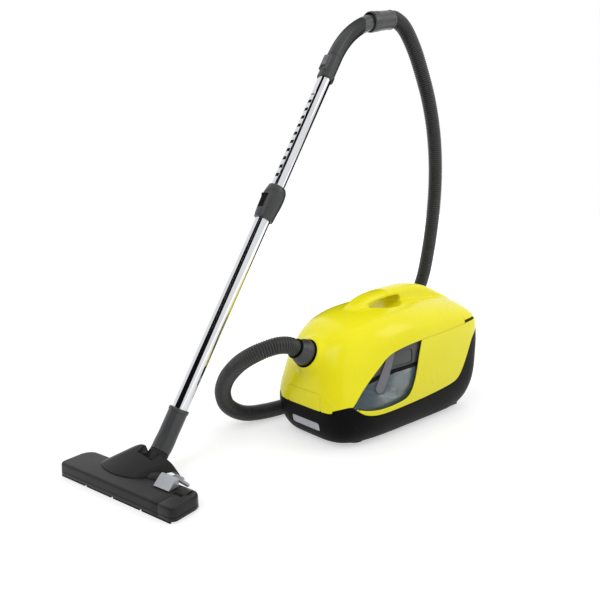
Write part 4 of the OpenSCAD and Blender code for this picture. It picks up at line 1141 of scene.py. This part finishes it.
cuff_at = heights(-24, 54, 3.0, 1.0, [-21, -14, -13, -12.2, -4, -5.6, -8, -9.6, -18, -16.4, -22, -20.4, 52.5,
                                      53.4])
make("hose_cuff", *sleeve(GRIP_END, CUFF_OUT, cuff_at, cuff_radius, cuff_bore), "root", "black_shell",
     "dark_grey_plastic", ["hose_cuff"])
ring_profile = rounded([(15.5, 54), (22.6, 54), (23.9, 55), (23.9, 57), (22.6, 58), (15.5, 58)], 0.6)
make("cuff_ring", *lathe(ring_profile, basis(GRIP_END, CUFF_OUT), 96), "root", "mid_grey_plastic")

# %% [markdown]
# ### Hand grip
# The grip is a round tube with a long flat on each side, which catches the light. Its bow follows a circle
# from the wand's lean to the cuff's gentle rise. The air slider lies in a seat on its upper side.

# %% Grip and bow
GRIP_RADIUS, GRIP_WALL, FLAT = 19.0, 3.2, 17.7
TUBE_BORE, TUBE_DEPTH = 16.02, 34.0
SEAT_HALF, SEAT_TOP, SEAT_LOW, SEAT_HIGH = 11.0, 22.0, 14.0, 58.0
WELL_HALF, WELL_RIM, WELL_FLOOR = 8.3, 2.9, 19.0
WAND_ANGLES = ring_angles(96, (5, 14, 15, 22, 23, 24.5, 26, 27.5, 29, 31))


def grip_section(a):
    """The round tube's radius with a flat on its left and its right."""
    return np.minimum(GRIP_RADIUS, FLAT / np.maximum(np.abs(np.sin(a)), 1e-6))


def grip_radius(a, h):
    """The grip with a collar at its foot, a raised seat on top and the slider's well in the seat."""
    tube = grip_section(a) + 1.5 * plateau(h, -1, 12.5, 1.2)
    facing = np.cos(a) > 0.4
    seat = np.minimum(SEAT_TOP / np.maximum(np.cos(a), 0.4), SEAT_HALF / np.maximum(np.abs(np.sin(a)), 1e-3))
    raised = tube + (seat - tube) * plateau(h, SEAT_LOW, SEAT_HIGH, 2.5)
    tube = np.where(facing, np.maximum(tube, raised), tube)
    well_across = plateau(tube * np.sin(a), -WELL_HALF, WELL_HALF, 0.5)
    well = well_across * plateau(h, SEAT_LOW + WELL_RIM, SEAT_HIGH - WELL_RIM, 0.6) * facing
    return tube - well * (tube - WELL_FLOOR / np.maximum(np.cos(a), 0.4)) - end_round(h)


def grip_bore(z):
    """The upper tube's seat, then the grip's own bore."""
    return TUBE_BORE if z < TUBE_DEPTH else GRIP_RADIUS - GRIP_WALL


grip_at = heights(0, GRIP_STRAIGHT, 4.0, 1.2, [11.3, 12.5, 14, 16.5, 16.9, 17.5, 55.1, 54.5, 55.5, 58])
grip_shape = sleeve(WAND_BEND + GRIP_START * WAND_OUT, WAND_OUT, grip_at, grip_radius, grip_bore, WAND_ANGLES)
make("grip", *grip_shape, "wand", "dark_grey_plastic", node=["grip"])
bow_centre = GRIP_END + GRIP_BEND * np.array([0, math.sin(CUFF_RISE), -math.cos(CUFF_RISE)])
bow_stations, bow_radii = [], []
for angle in np.linspace(WAND_TILT, CUFF_RISE, 33):
    along = np.array([0, math.cos(angle), math.sin(angle)])
    out = np.array([0, -math.sin(angle), math.cos(angle)])
    bow_stations.append((bow_centre + GRIP_BEND * out, along))
    bow_radii.append(grip_section(WAND_ANGLES))
for reach, radius in ((0.05, 17.5), (21.4, 17.5), (22, 16.9)):
    bow_stations.append((GRIP_END + reach * CUFF_OUT, CUFF_OUT))
    bow_radii.append(np.full(len(WAND_ANGLES), radius))
bow_bores = [GRIP_RADIUS - GRIP_WALL] * len(bow_stations)
make("grip_bow", *swept(bow_stations, bow_radii, bow_bores, WAND_ANGLES), "wand", "dark_grey_plastic",
     node=["grip_bow"])

# %% Air slider
SLIDER_LOW = GRIP_START + SEAT_LOW + 12.7
slider_place = basis(WAND_BEND + SLIDER_LOW * WAND_OUT, WAND_OUT)
slider_outline = [(-22.2, 1), (-23.4, 6), (-23.0, 22), (-22.2, 27), (-19.8, 28), (-19.8, 0)]
slider = make("air_slider", *prism(slider_outline, -7.9, 7.9, slider_place), "air_slider", "mid_grey_plastic",
              node=["air_slider"])
soften(slider, 0.9)
ridge = prism([(-22.6, 9.2), (-24.0, 10.0), (-24.0, 10.8), (-22.6, 11.6)], -6, 6, slider_place)
row_of("slider_ridges", ridge, 4, 3.2 * WAND_OUT, "air_slider", "mid_grey_plastic")

# %% [markdown]
# ### Chrome tubes, collar and neck
# The upper tube slides in the lower one, and its notches take the collar's lock. The collar is a barrel with a
# scooped thumb button. The neck is one tube with a soft bend, where it turns on the elbow.

# %% Chrome tubes
UPPER_RADIUS, LOWER_RADIUS = 16.0, 17.5
NOTCHES, NOTCH_STEP, NOTCH_START = 11, 22.0, 642.0
NOTCH_LENGTH, NOTCH_HALF, NOTCH_DEPTH = 10.0, 6.4, 0.7
notch_edges = [NOTCH_START + NOTCH_STEP * i + e for i in range(NOTCHES) for e in (0, 0.5, 9.5, 10)]


def notched(a, h):
    """The upper tube's radius, less in the notches on the side that faces up."""
    in_row = (h - NOTCH_START) % NOTCH_STEP
    row = (h > NOTCH_START - 1) & (h < NOTCH_START + NOTCH_STEP * (NOTCHES - 1) + 8)
    across = plateau(UPPER_RADIUS * np.sin(a), -NOTCH_HALF, NOTCH_HALF, 0.8) * (np.cos(a) > 0)
    deep = plateau(in_row, 0, NOTCH_LENGTH, 0.5) * row * across
    return UPPER_RADIUS - NOTCH_DEPTH * deep - end_round(h, 0.5)


def arc(radius, degrees):
    """Points of an arc about a tube's axis, where angle 0 faces up."""
    return [(-radius * math.cos(math.radians(d)), radius * math.sin(math.radians(d))) for d in degrees]


make("upper_tube", *sleeve(WAND_BEND, WAND_OUT, heights(454, 950, 60, 0.5, notch_edges), notched,
                           lambda z: UPPER_RADIUS - 1.2, ring_angles(96, (20.0, 21.6, 23.2))),
     "wand", "chrome_tube", node=["upper_tube"])
# The notches' floors are black strips: painted shade, standing for the dark that shows through a real tube's
# slots.
notch_shade_outline = arc(15.55, range(-21, 22, 3)) + arc(15.1, range(21, -22, -3))
notch_place = basis(WAND_BEND + NOTCH_START * WAND_OUT, WAND_OUT)
row_of("notch_painted_shade", prism(notch_shade_outline, 0.8, 9.2, notch_place, (1, 0)), NOTCHES, NOTCH_STEP * WAND_OUT,
       "wand", "chrome_tube", "black_shell")
make("lower_tube", *sleeve(WAND_BEND, WAND_OUT, heights(34, 588, 80, 0.5),
                           lambda a, h: LOWER_RADIUS - end_round(h, 0.5), lambda z: UPPER_RADIUS + 0.05),
     "lower_wand", "chrome_tube", node=["lower_tube"])

# %% Collar and lock button
COLLAR_LOW, COLLAR_HIGH, BUTTON_AT = 538.0, 622.0, 577.0
# height, radius at the back and radius in front
BARREL = np.array([(538, 22.6, 22.4), (541, 23.2, 22.8), (562, 25.0, 24.4), (586, 26.8, 25.0),
                   (600, 26.9, 24.2), (612, 25.4, 22.2), (618, 22.8, 20.6), (622, 20.2, 19.6)])


def barrel_radius(a, h):
    """A barrel that is fuller at the back, with a groove near its top and a well for the button."""
    back, front = (np.interp(h, BARREL[:, 0], BARREL[:, k]) for k in (1, 2))
    lean = (1 - np.cos(a + math.radians(45))) / 2
    barrel = front + (back - front) * lean
    barrel = barrel - 0.7 * plateau(h, 604, 606.4, 0.7)
    well = plateau(24 * np.sin(a), -9.8, 9.8, 1.4) * plateau(h, 556, 602, 1.2) * (np.cos(a) > 0)
    return barrel - (barrel - 22.2 / np.maximum(np.cos(a), 0.5)) * well - end_round(h)


collar_at = heights(COLLAR_LOW, COLLAR_HIGH, 4, 1.2,
                    [555.9, 557.2, 600.8, 602, 604, 604.7, 605.7, 606.4, 612, 618])
make("wand_collar", *sleeve(WAND_BEND, WAND_OUT, collar_at, barrel_radius,
                            lambda z: LOWER_RADIUS + 0.02 if z < 594 else UPPER_RADIUS + 0.05,
                            ring_angles(96, (20.4, 21.4, 22.3, 23.2, 24.2, 25))), "lower_wand", "black_shell",
     "dark_grey_plastic", ["wand_collar"])
button_place = basis(WAND_BEND + BUTTON_AT * WAND_OUT, WAND_OUT)
button_outline = [(-22.6, -17), (-22.9, -10), (-23.0, -2), (-23.6, 6), (-25.4, 11), (-27.0, 14.5),
                  (-27.2, 16), (-25.8, 16.8), (-22.3, 16.8), (-22.3, -17)]
button = make("lock_button", *prism(button_outline, -9.0, 9.0, button_place), "lock_button", "mid_grey_plastic",
              "black_shell", ["lock_button"])
soften(button, 0.8)
button_ridge = prism([(-22.8, -12.4), (-23.9, -11.6), (-23.9, -10.9), (-22.8, -10.2)], -6.5, 6.5, button_place)
row_of("button_ridges", button_ridge, 4, 3.4 * WAND_OUT, "lock_button", "mid_grey_plastic", "black_shell")

# %% Neck
NOZZLE_YAW = math.radians(13)
NOZZLE_REACH = 95.0
TILT_AXIS = (0.0, 66.0, 32.0)
neck_run, neck_rise = NOZZLE_REACH - TILT_AXIS[1], WAND_BEND[2] - TILT_AXIS[2]
neck_slope = np.array([-neck_run * math.sin(NOZZLE_YAW), neck_run * math.cos(NOZZLE_YAW), neck_rise])
NECK_OUT = neck_slope / math.hypot(neck_run, neck_rise)
NECK_RADIUS, NECK_SWELL, NECK_BORE = 21.0, 0.7, 14.4
TUBE_SEAT, TUBE_FOOT = 17.55, 34.0
BEND_ABOVE, BEND_BELOW = 26.0, 13.0
NECK_RINGS = [(84, 21.2), (83.2, 22.0), (82, 22.3), (77.5, 22.3), (76.3, 22.0), (75.6, 21.1),
              (60, NECK_RADIUS), (48, NECK_RADIUS), (34.1, NECK_RADIUS), (33.9, NECK_RADIUS)]
neck_stations, neck_outer, neck_inner = [], [], []
for height, radius in NECK_RINGS:
    neck_stations.append((WAND_BEND + height * WAND_OUT, WAND_OUT))
    neck_outer.append(radius)
    neck_inner.append(TUBE_SEAT if height > TUBE_FOOT else NECK_BORE)
start, stop = WAND_BEND + BEND_ABOVE * WAND_OUT, WAND_BEND - BEND_BELOW * NECK_OUT
for t in np.linspace(0, 1, 9):
    place = (1 - t) ** 2 * start + 2 * t * (1 - t) * WAND_BEND + t ** 2 * stop
    heading = (1 - t) * (start - WAND_BEND) + t * (WAND_BEND - stop)
    neck_stations.append((place, heading))
    neck_outer.append(NECK_RADIUS + NECK_SWELL * math.sin(math.pi * t))
    neck_inner.append(NECK_BORE)
make("nozzle_neck", *swept(neck_stations, neck_outer, neck_inner), "lower_wand", "dark_grey_plastic",
     node=["nozzle_neck"])
print("wand pieces made, grip to neck")

# %% [markdown]
# ## Floor nozzle
# The nozzle lies 13 degrees out of the wand's plane. Its body is a low box with a lip along its top edge and
# a seam for the end cap. A large humped cover surrounds the joint, which stands in a slot of the cover. Four
# slopes meet in it: a long one at the front, a gentle one at the left, a steep one at the right and a steep
# one behind.

# %% The nozzle's place
nozzle_origin = WAND_BEND + [NOZZLE_REACH * math.sin(NOZZLE_YAW), -NOZZLE_REACH * math.cos(NOZZLE_YAW),
                             -WAND_BEND[2]]
NOZZLE = np.array([[math.cos(NOZZLE_YAW), -math.sin(NOZZLE_YAW), 0, nozzle_origin[0]],
                   [math.sin(NOZZLE_YAW), math.cos(NOZZLE_YAW), 0, nozzle_origin[1]],
                   [0, 0, 1, 0], [0, 0, 0, 1]])
ACROSS = NOZZLE[:3, 0]
print("nozzle at", np.round(nozzle_origin, 1))

# %% Elbow
ELBOW_HALF, ELBOW_BORE = 19.2, 10.5
elbow_at = heights(-38, -13.6, 3, 1.0, [-35.5, -34.7, -19.8, -19])


def elbow_radius(a, h):
    """Between round and square, with a sunk panel on top."""
    boxy = (np.abs(np.sin(a) / ELBOW_HALF) ** 3 + np.abs(np.cos(a) / ELBOW_HALF) ** 3) ** (-1 / 3)
    panel = plateau(19 * np.sin(a), -10, 10, 0.8) * plateau(h, -35.5, -19, 0.8) * (np.cos(a) > 0)
    return boxy - 1.1 * panel - end_round(h, 1.0)


tilt_place = NOZZLE @ basis(TILT_AXIS, (1, 0, 0), (0, 1, 0))
elbow_parts = [
    sleeve(WAND_BEND, NECK_OUT, elbow_at, elbow_radius, lambda z: ELBOW_BORE,
           ring_angles(96, (30.3, 31.8, 33, 34.5))),
    lathe([(ELBOW_BORE, -16), (14, -16), (14, -2.4), (13.4, -1.8), (ELBOW_BORE, -1.8)],
          basis(WAND_BEND, NECK_OUT)),
    lathe(rounded([(0, -22), (18, -22), (18, 22), (0, 22)], 2.0), tilt_place, 72, False),
    lathe([(0, -30), (4.6, -30), (5, -29.4), (5, 29.4), (4.6, 30), (0, 30)], tilt_place, 36, False)]
make("nozzle_elbow", *joined(*elbow_parts), "elbow", "dark_grey_plastic", "nozzle_plastic", ["nozzle_elbow"])

# %% Nozzle body
HALF_LENGTH, HALF_DEPTH = 170.0, 39.0
CORNERS = (13.0, 13.0, 24.0, 27.0)
# inset from the widest outline, and z
BODY_RINGS = [(1.3, 4.0), (0.4, 4.4), (0, 5.4), (0, 11.0), (0.8, 11.4), (0.8, 12.2), (0, 12.6), (0.3, 24.4),
              (0.5, 26.6), (1.3, 28.4), (2.7, 29.6), (4.6, 30.1), (8, 30.2), (20, 30.35), (34, 30.45),
              (39, 30.5)]
SEAM_X, SEAM_HALF, BODY_WALL = 130.0, 0.35, 2.4
CORNER_POINTS, LONG_SIDE_STEPS = 9, 12


def plan_ring(inset, z):
    """A rounded rectangle whose corners have the radii of CORNERS, from the front left round to the rear left."""
    ring = []
    centres = [(-1, -1), (1, -1), (1, 1), (-1, 1)]
    for k, ((sx, sy), radius) in enumerate(zip(centres, CORNERS)):
        cx, cy = sx * (HALF_LENGTH - max(radius, inset)), sy * (HALF_DEPTH - max(radius, inset))
        left = max(radius - inset, 0)
        for turn in np.linspace(0, math.pi / 2, CORNER_POINTS):
            angle = math.pi + k * math.pi / 2 + turn
            ring.append((cx + left * math.cos(angle), cy + left * math.sin(angle), z))
    return ring


rings = [plan_ring(*r) for r in BODY_RINGS]
long_sides = [CORNER_POINTS - 1, 3 * CORNER_POINTS - 1]
full_rings = []
for ring in rings:
    full = []
    for i, (a, b) in enumerate(zip(ring, ring[1:] + ring[:1])):
        steps = LONG_SIDE_STEPS if i in long_sides else 1
        full += [np.array(a) + (np.array(b) - a) * s / steps for s in range(steps)]
    full_rings.append(full)
body_points = np.array(full_rings).reshape(-1, 3)
body_faces = np.array(ring_faces(len(full_rings), len(full_rings[0]), False))
for name, share, node in (("nozzle_body", SEAM_X - SEAM_HALF - body_points[:, 0], ["nozzle_body"]),
                          ("nozzle_end_cap", body_points[:, 0] - SEAM_X - SEAM_HALF, ())):
    part_points, part_faces = cut(body_points, body_faces, share)
    shell(name, carried(part_points, NOZZLE), part_faces, BODY_WALL, "nozzle", "dark_grey_plastic",
          "nozzle_plastic", node, rim=0.3)

# %% Skirt, lugs and small parts of the body
skirt = box((-162, -38.2, 0.8), (-86, -35.4, 4.6), NOZZLE)
row_of("nozzle_skirt_front", skirt, 4, 82.4 * ACROSS, "nozzle", "dark_grey_plastic", "black_shell")
skirt = box((-150, 35.4, 0.8), (-80, 38.0, 4.6), NOZZLE)
row_of("nozzle_skirt_rear", skirt, 4, 76.0 * ACROSS, "nozzle", "dark_grey_plastic", "black_shell")
LUG_RADIUS, LUG_X, LUG_HALF = 11.0, 27.0, 3.6
lug = [(TILT_AXIS[1] + LUG_RADIUS * math.sin(t), TILT_AXIS[2] + LUG_RADIUS * math.cos(t))
       for t in np.linspace(-0.2, math.pi, 20)] + [(34, 14), (34, 34)]
lugs = [prism(lug, x - LUG_HALF, x + LUG_HALF, NOZZLE) for x in (-LUG_X, LUG_X)]
duct = box((-17, 26, 9), (17, 52, 24), NOZZLE)
knuckles = make("nozzle_lugs", *joined(*lugs, duct), "nozzle", "dark_grey_plastic", "nozzle_plastic")
soften(knuckles, 1.0)
seat = prism([(-3, 30.3), (-2, 31.2), (29, 31.6), (31, 30.3)], 71, 121, NOZZLE)
pad = prism([(12, 30.3), (16, 32.2), (22, 33.4), (28, 33.2), (33, 30.3)], 124, 150, NOZZLE)
trim = make("nozzle_seats", *joined(seat, pad), "nozzle", "mid_grey_plastic", "nozzle_plastic")
soften(trim, 0.8)
slot = make("nozzle_slot", *box((125, 3.5, 30.2), (147, 10.5, 30.9), NOZZLE), "nozzle", "dark_grey_plastic",
            "black_shell")
soften(slot, 0.3)
link_outline = [(78, 44), (104, 40), (130, 36), (132, 41), (108, 46), (106, 53), (82, 56)]
link = make("brush_link", *prism(link_outline, 30.4, 36.5, NOZZLE, (0, 1)), "nozzle", "silver_plastic")
soften(link, 1.0)

# %% Humped cover
FRONT_CENTRE, FRONT_REACH = np.array([-32.0, 115.7]), 124.8
FLANK_FOOT, FLANK_IN = np.array([25.0, 9.0]), np.array([-0.837, 0.547])
CORNER_FOOT, CORNER_IN = np.array([-103.0, 40.0]), np.array([0.671, -0.741])
LEFT_FOOT, REAR_FOOT, REAR_BOW = -98.0, 88.0, 0.0016
COVER_STEP = 1.5


def cover_distances(p):
    """How far a point of the plan lies inside the front arc, the right foot, the left foot and the rear."""
    front = FRONT_REACH - np.linalg.norm(p - FRONT_CENTRE, axis=1)
    flank = (p - FLANK_FOOT) @ FLANK_IN
    left = p[:, 0] - LEFT_FOOT
    behind = REAR_FOOT - p[:, 1] - REAR_BOW * (p[:, 0] + 10) ** 2
    return front, flank, left, soft_union(behind, (p - CORNER_FOOT) @ CORNER_IN, 10.0)


def cover_height(p):
    front, flank, left, rear = cover_distances(p)
    front_slope = 31.4 + 34.6 * (np.maximum(front, 0) / 70) ** 0.85
    flank_slope = 30.6 + 1.9 * np.maximum(flank, 0)
    left_slope = 31.0 + 0.6 * np.maximum(left, 0)
    rear_slope = 16 + 2.6 * np.maximum(rear, 0)
    top = soft_union(soft_union(front_slope, left_slope, 7.0), flank_slope, 2.5)
    return soft_union(top, rear_slope, 9.0)


plan_x, plan_y = np.meshgrid(np.arange(-112, 72, COVER_STEP), np.arange(-14, 98, COVER_STEP), indexing="ij")
p = np.stack([plan_x.ravel(), plan_y.ravel()], 1)
cover_points = np.column_stack([p, cover_height(p)])
rows, columns = plan_x.shape
at = np.arange(rows * columns).reshape(rows, columns)
cover_faces = np.stack([at[:-1, :-1], at[1:, :-1], at[1:, 1:], at[:-1, 1:]], -1).reshape(-1, 4)
front, flank, left, rear = cover_distances(p)
JOINT_SLOT = [(-20.8, 47), (20.8, 47), (20.8, 120), (-20.8, 120)]
joint_gap = -inside_outline(cover_points, JOINT_SLOT, (0, 1)) - 1.5
share = np.minimum.reduce([front, flank, left, rear - 0.6, joint_gap])
cover_points, cover_faces = cut(cover_points, cover_faces, share)
shell("nozzle_cover", carried(cover_points, NOZZLE), cover_faces, 2.0, "nozzle", "dark_grey_plastic",
      "nozzle_plastic", ["nozzle_cover"], rim=0.4)
dome_place = NOZZLE @ np.array([[25, 0, 0, 45], [0, 19, 0, 36], [0, 0, 9, 29.5], [0, 0, 0, 1]])
dome = [(math.cos(t), math.sin(t)) for t in np.linspace(0, math.pi / 2, 14)]
make("pedal_dome", *lathe([(0, 0)] + dome, dome_place, 64, False), "nozzle", "dark_grey_plastic",
     "nozzle_plastic")

# %% Brush pedal, brushes and rollers
pedal_outline = [(1.2, 32.4), (0.6, 33.4), (2.0, 34.4), (10, 41.2), (19, 49.0), (22, 50.6), (25, 50.8),
                 (27, 49.4), (27.6, 33.2), (26.6, 32.4)]
pedal = make("nozzle_pedal", *prism(pedal_outline, 75, 117, NOZZLE), "nozzle_pedal", "silver_plastic",
             node=["nozzle_pedal"])
soften(pedal, 1.3, 4, 30)
BRUSH_SIDES, BRUSH_HALF, RAIL_HALF = (-24, 24), 146.0, 148.0
TUFTS, TUFT_WIDTH = 48, 4.4
tuft = joined(*[prism([(y - 1.3, 0.2), (y + 1.3, 0.2), (y + 1.6, 6.2), (y - 1.6, 6.2)], -BRUSH_HALF,
                      TUFT_WIDTH - BRUSH_HALF, NOZZLE) for y in BRUSH_SIDES])
tuft_step = (2 * BRUSH_HALF - TUFT_WIDTH) / (TUFTS - 1) * ACROSS
row_of("brush_tufts", tuft, TUFTS, tuft_step, "brush_strips", "bristle")
rails = [prism([(y - 1.8, 5), (y + 1.8, 5), (y + 1.8, 13.4), (y + 1.2, 14), (y - 1.2, 14), (y - 1.8, 13.4)],
               -RAIL_HALF, RAIL_HALF, NOZZLE) for y in BRUSH_SIDES]
make("brush_rails", *joined(*rails), "brush_strips", "bristle", "black_shell", ["brush_strips"])
roller = rounded([(0, -10), (2, -10), (2, -5), (7, -5), (7, 5), (2, 5), (2, 10), (0, 10)], 0.9)
roller_places = [NOZZLE @ basis((x, 13, 7), (1, 0, 0), (0, 1, 0)) for x in (-144, 144)]
make("nozzle_rollers", *joined(*[lathe(roller, place, 40, False) for place in roller_places]),
     "nozzle_rollers", "tyre_rubber", node=["nozzle_rollers"])

# %% [markdown]
# ## Wheels
# The rear wheels are turned: a soft tyre with a groove round its tread, and a dished hub with a raised boss.

# %% Rear wheels and castor wheels
tyre = rounded([(4.1, -9), (12, -9), (12.6, -7.6), (25, -6.6), (26.4, -9), (31.5, -9), (34.4, -7.4), (35, -5),
                (35, -1), (34, -0.5), (34, 0.5), (35, 1), (35, 5), (34.4, 7.4), (31.5, 9), (26.4, 9), (25, 6.6),
                (12.6, 7.6), (12, 9), (4.1, 9)], 0.7)
roll = rounded([(0, -11), (2, -11), (2, -7), (8, -7), (8.6, -6.2), (11, -6.2), (13.2, -5.8), (14, -4), (14, 4),
                (13.2, 5.8), (11, 6.2), (8.6, 6.2), (8, 7), (2, 7), (2, 11), (0, 11)], 0.6)
for side, word in ((-1, "left"), (1, "right")):
    wheel_place = basis((side * WHEEL_X, WHEEL_Y, WHEEL_Z), (1, 0, 0), (0, 1, 0))
    make("rear_wheel_" + word, *lathe(tyre, wheel_place, 96), "rear_wheel_" + word, "tyre_rubber",
         node=["rear_wheel_" + word])
    castor_place = basis((side * CASTOR_X, CASTOR_WHEEL_Y, CASTOR_WHEEL_Z), (1, 0, 0), (0, 1, 0))
    make("castor_wheel_" + word, *lathe(roll, castor_place, 48, False), "castor_wheel_" + word, "tyre_rubber",
         node=["castor_wheel_" + word])
print("nozzle and wheels made")

# %% [markdown]
# ## Floor and light
# A pale floor under a wide soft light, and a backdrop of the same white, so that the machine stands free.
# Two dark cards, one beside the lens and one close behind the wand, give the chrome something to mirror. The
# camera sees neither them nor the lamps.

# %% Floor, backdrop and lamps
def seen_directly(tree):
    """One for rays from the camera, from a mirror or through glass, zero for the rays that light the object."""
    path = tree.nodes.new("ShaderNodeLightPath")
    seen = path.outputs["Is Camera Ray"]
    for other in ("Is Glossy Ray", "Is Transmission Ray"):
        both = tree.nodes.new("ShaderNodeMath")
        both.operation = "MAXIMUM"
        tree.links.new(seen, both.inputs[0])
        tree.links.new(path.outputs[other], both.inputs[1])
        seen = both.outputs[0]
    return seen


WORLD_LIGHT = 0.85
FLOOR_SHADE, FLOOR_LIFT_NEAR, FLOOR_LIFT_FAR = 0.6, 0.5, 1.0
LIFT_STARTS, LIFT_ENDS, FLOOR_REACH = 0.9, 2.6, 14.0


def studio():
    """White light from all round, and a floor that grows brighter away from the machine, in metres."""
    bpy.context.scene.view_settings.view_transform = "Standard"
    world = bpy.data.worlds.new("studio")
    bpy.context.scene.world = world
    world.use_nodes = True
    tree = world.node_tree
    shade = tree.nodes["Background"]
    tree.links.new(stretched(tree, seen_directly(tree), 0, 1, WORLD_LIGHT, 1.0), shade.inputs["Strength"])
    shade.inputs["Color"].default_value = (1, 1, 1, 1)
    floor_mesh = bpy.data.meshes.new("floor")
    corners = [(x * FLOOR_REACH, y * FLOOR_REACH, 0) for x, y in ((-1, -1), (1, -1), (1, 1), (-1, 1))]
    floor_mesh.from_pydata(corners, [], [(0, 1, 2, 3)])
    floor = bpy.data.objects.new("floor", floor_mesh)
    bpy.context.scene.collection.objects.link(floor)
    white = bpy.data.materials.new("floor_white")
    white.use_nodes = True
    tree = white.node_tree
    shader = tree.nodes["Principled BSDF"]
    shader.inputs["Base Color"].default_value = (FLOOR_SHADE, FLOOR_SHADE, FLOOR_SHADE, 1)
    shader.inputs["Roughness"].default_value = 0.7
    shader.inputs["Specular IOR Level"].default_value = 0.1
    away = tree.nodes.new("ShaderNodeVectorMath")
    away.operation = "LENGTH"
    tree.links.new(tree.nodes.new("ShaderNodeTexCoord").outputs["Object"], away.inputs[0])
    lift = stretched(tree, away.outputs["Value"], LIFT_STARTS, LIFT_ENDS, FLOOR_LIFT_NEAR, FLOOR_LIFT_FAR)
    shown = tree.nodes.new("ShaderNodeMath")
    shown.operation = "MULTIPLY"
    tree.links.new(lift, shown.inputs[0])
    tree.links.new(seen_directly(tree), shown.inputs[1])
    shader.inputs["Emission Color"].default_value = (1, 1, 1, 1)
    tree.links.new(shown.outputs[0], shader.inputs["Emission Strength"])
    floor.data.materials.append(white)


def lamp(name, place, target, size, power):
    """A square lamp that shines from a place to its target, and that the camera doesn't see."""
    light = bpy.data.objects.new(name, bpy.data.lights.new(name, "AREA"))
    light.data.shape, light.data.size, light.data.energy = "SQUARE", size, power
    light.location, light.visible_camera = place, False
    light.rotation_euler = (Vector(target) - Vector(place)).to_track_quat("-Z", "Y").to_euler()
    bpy.context.scene.collection.objects.link(light)


def card(name, turn, reach, width, low, high):
    """A dark upright card that only mirrors see. turn is its angle in degrees to the left of the lens, seen
    from the wand."""
    wand_middle = to_row((-76, -350, 0))
    angle = CAMERA_TURN - math.radians(turn)
    away = Vector((math.sin(angle), -math.cos(angle), 0))
    side = Vector((-away.y, away.x, 0)) * width / 2
    middle = wand_middle + away * reach
    (x1, y1, _), (x2, y2, _) = middle - side, middle + side
    mesh = bpy.data.meshes.new(name)
    mesh.from_pydata([(x1, y1, low), (x2, y2, low), (x2, y2, high), (x1, y1, high)], [], [(0, 1, 2, 3)])
    board = bpy.data.objects.new(name, mesh)
    bpy.context.scene.collection.objects.link(board)
    paint = bpy.data.materials.new(name)
    paint.use_nodes = True
    shader = paint.node_tree.nodes["Principled BSDF"]
    shader.inputs["Base Color"].default_value = (0.01, 0.01, 0.01, 1)
    shader.inputs["Specular IOR Level"].default_value = 0.0
    board.data.materials.append(paint)
    board.visible_camera = board.visible_diffuse = board.visible_shadow = False
    board.visible_transmission = False


studio()
lamp("key", (0.6, -2.2, 2.6), (0, 0, 0.2), 1.4, 22)
lamp("rim", (1.6, 1.4, 1.9), (0, 0.2, 0.3), 1.2, 10)
card("card_front", 32, 1.6, 2.4, -0.5, 6.0)
card("card_right", -140, 0.34, 0.32, 0.0, 1.5)
print("lamps and floor ready")
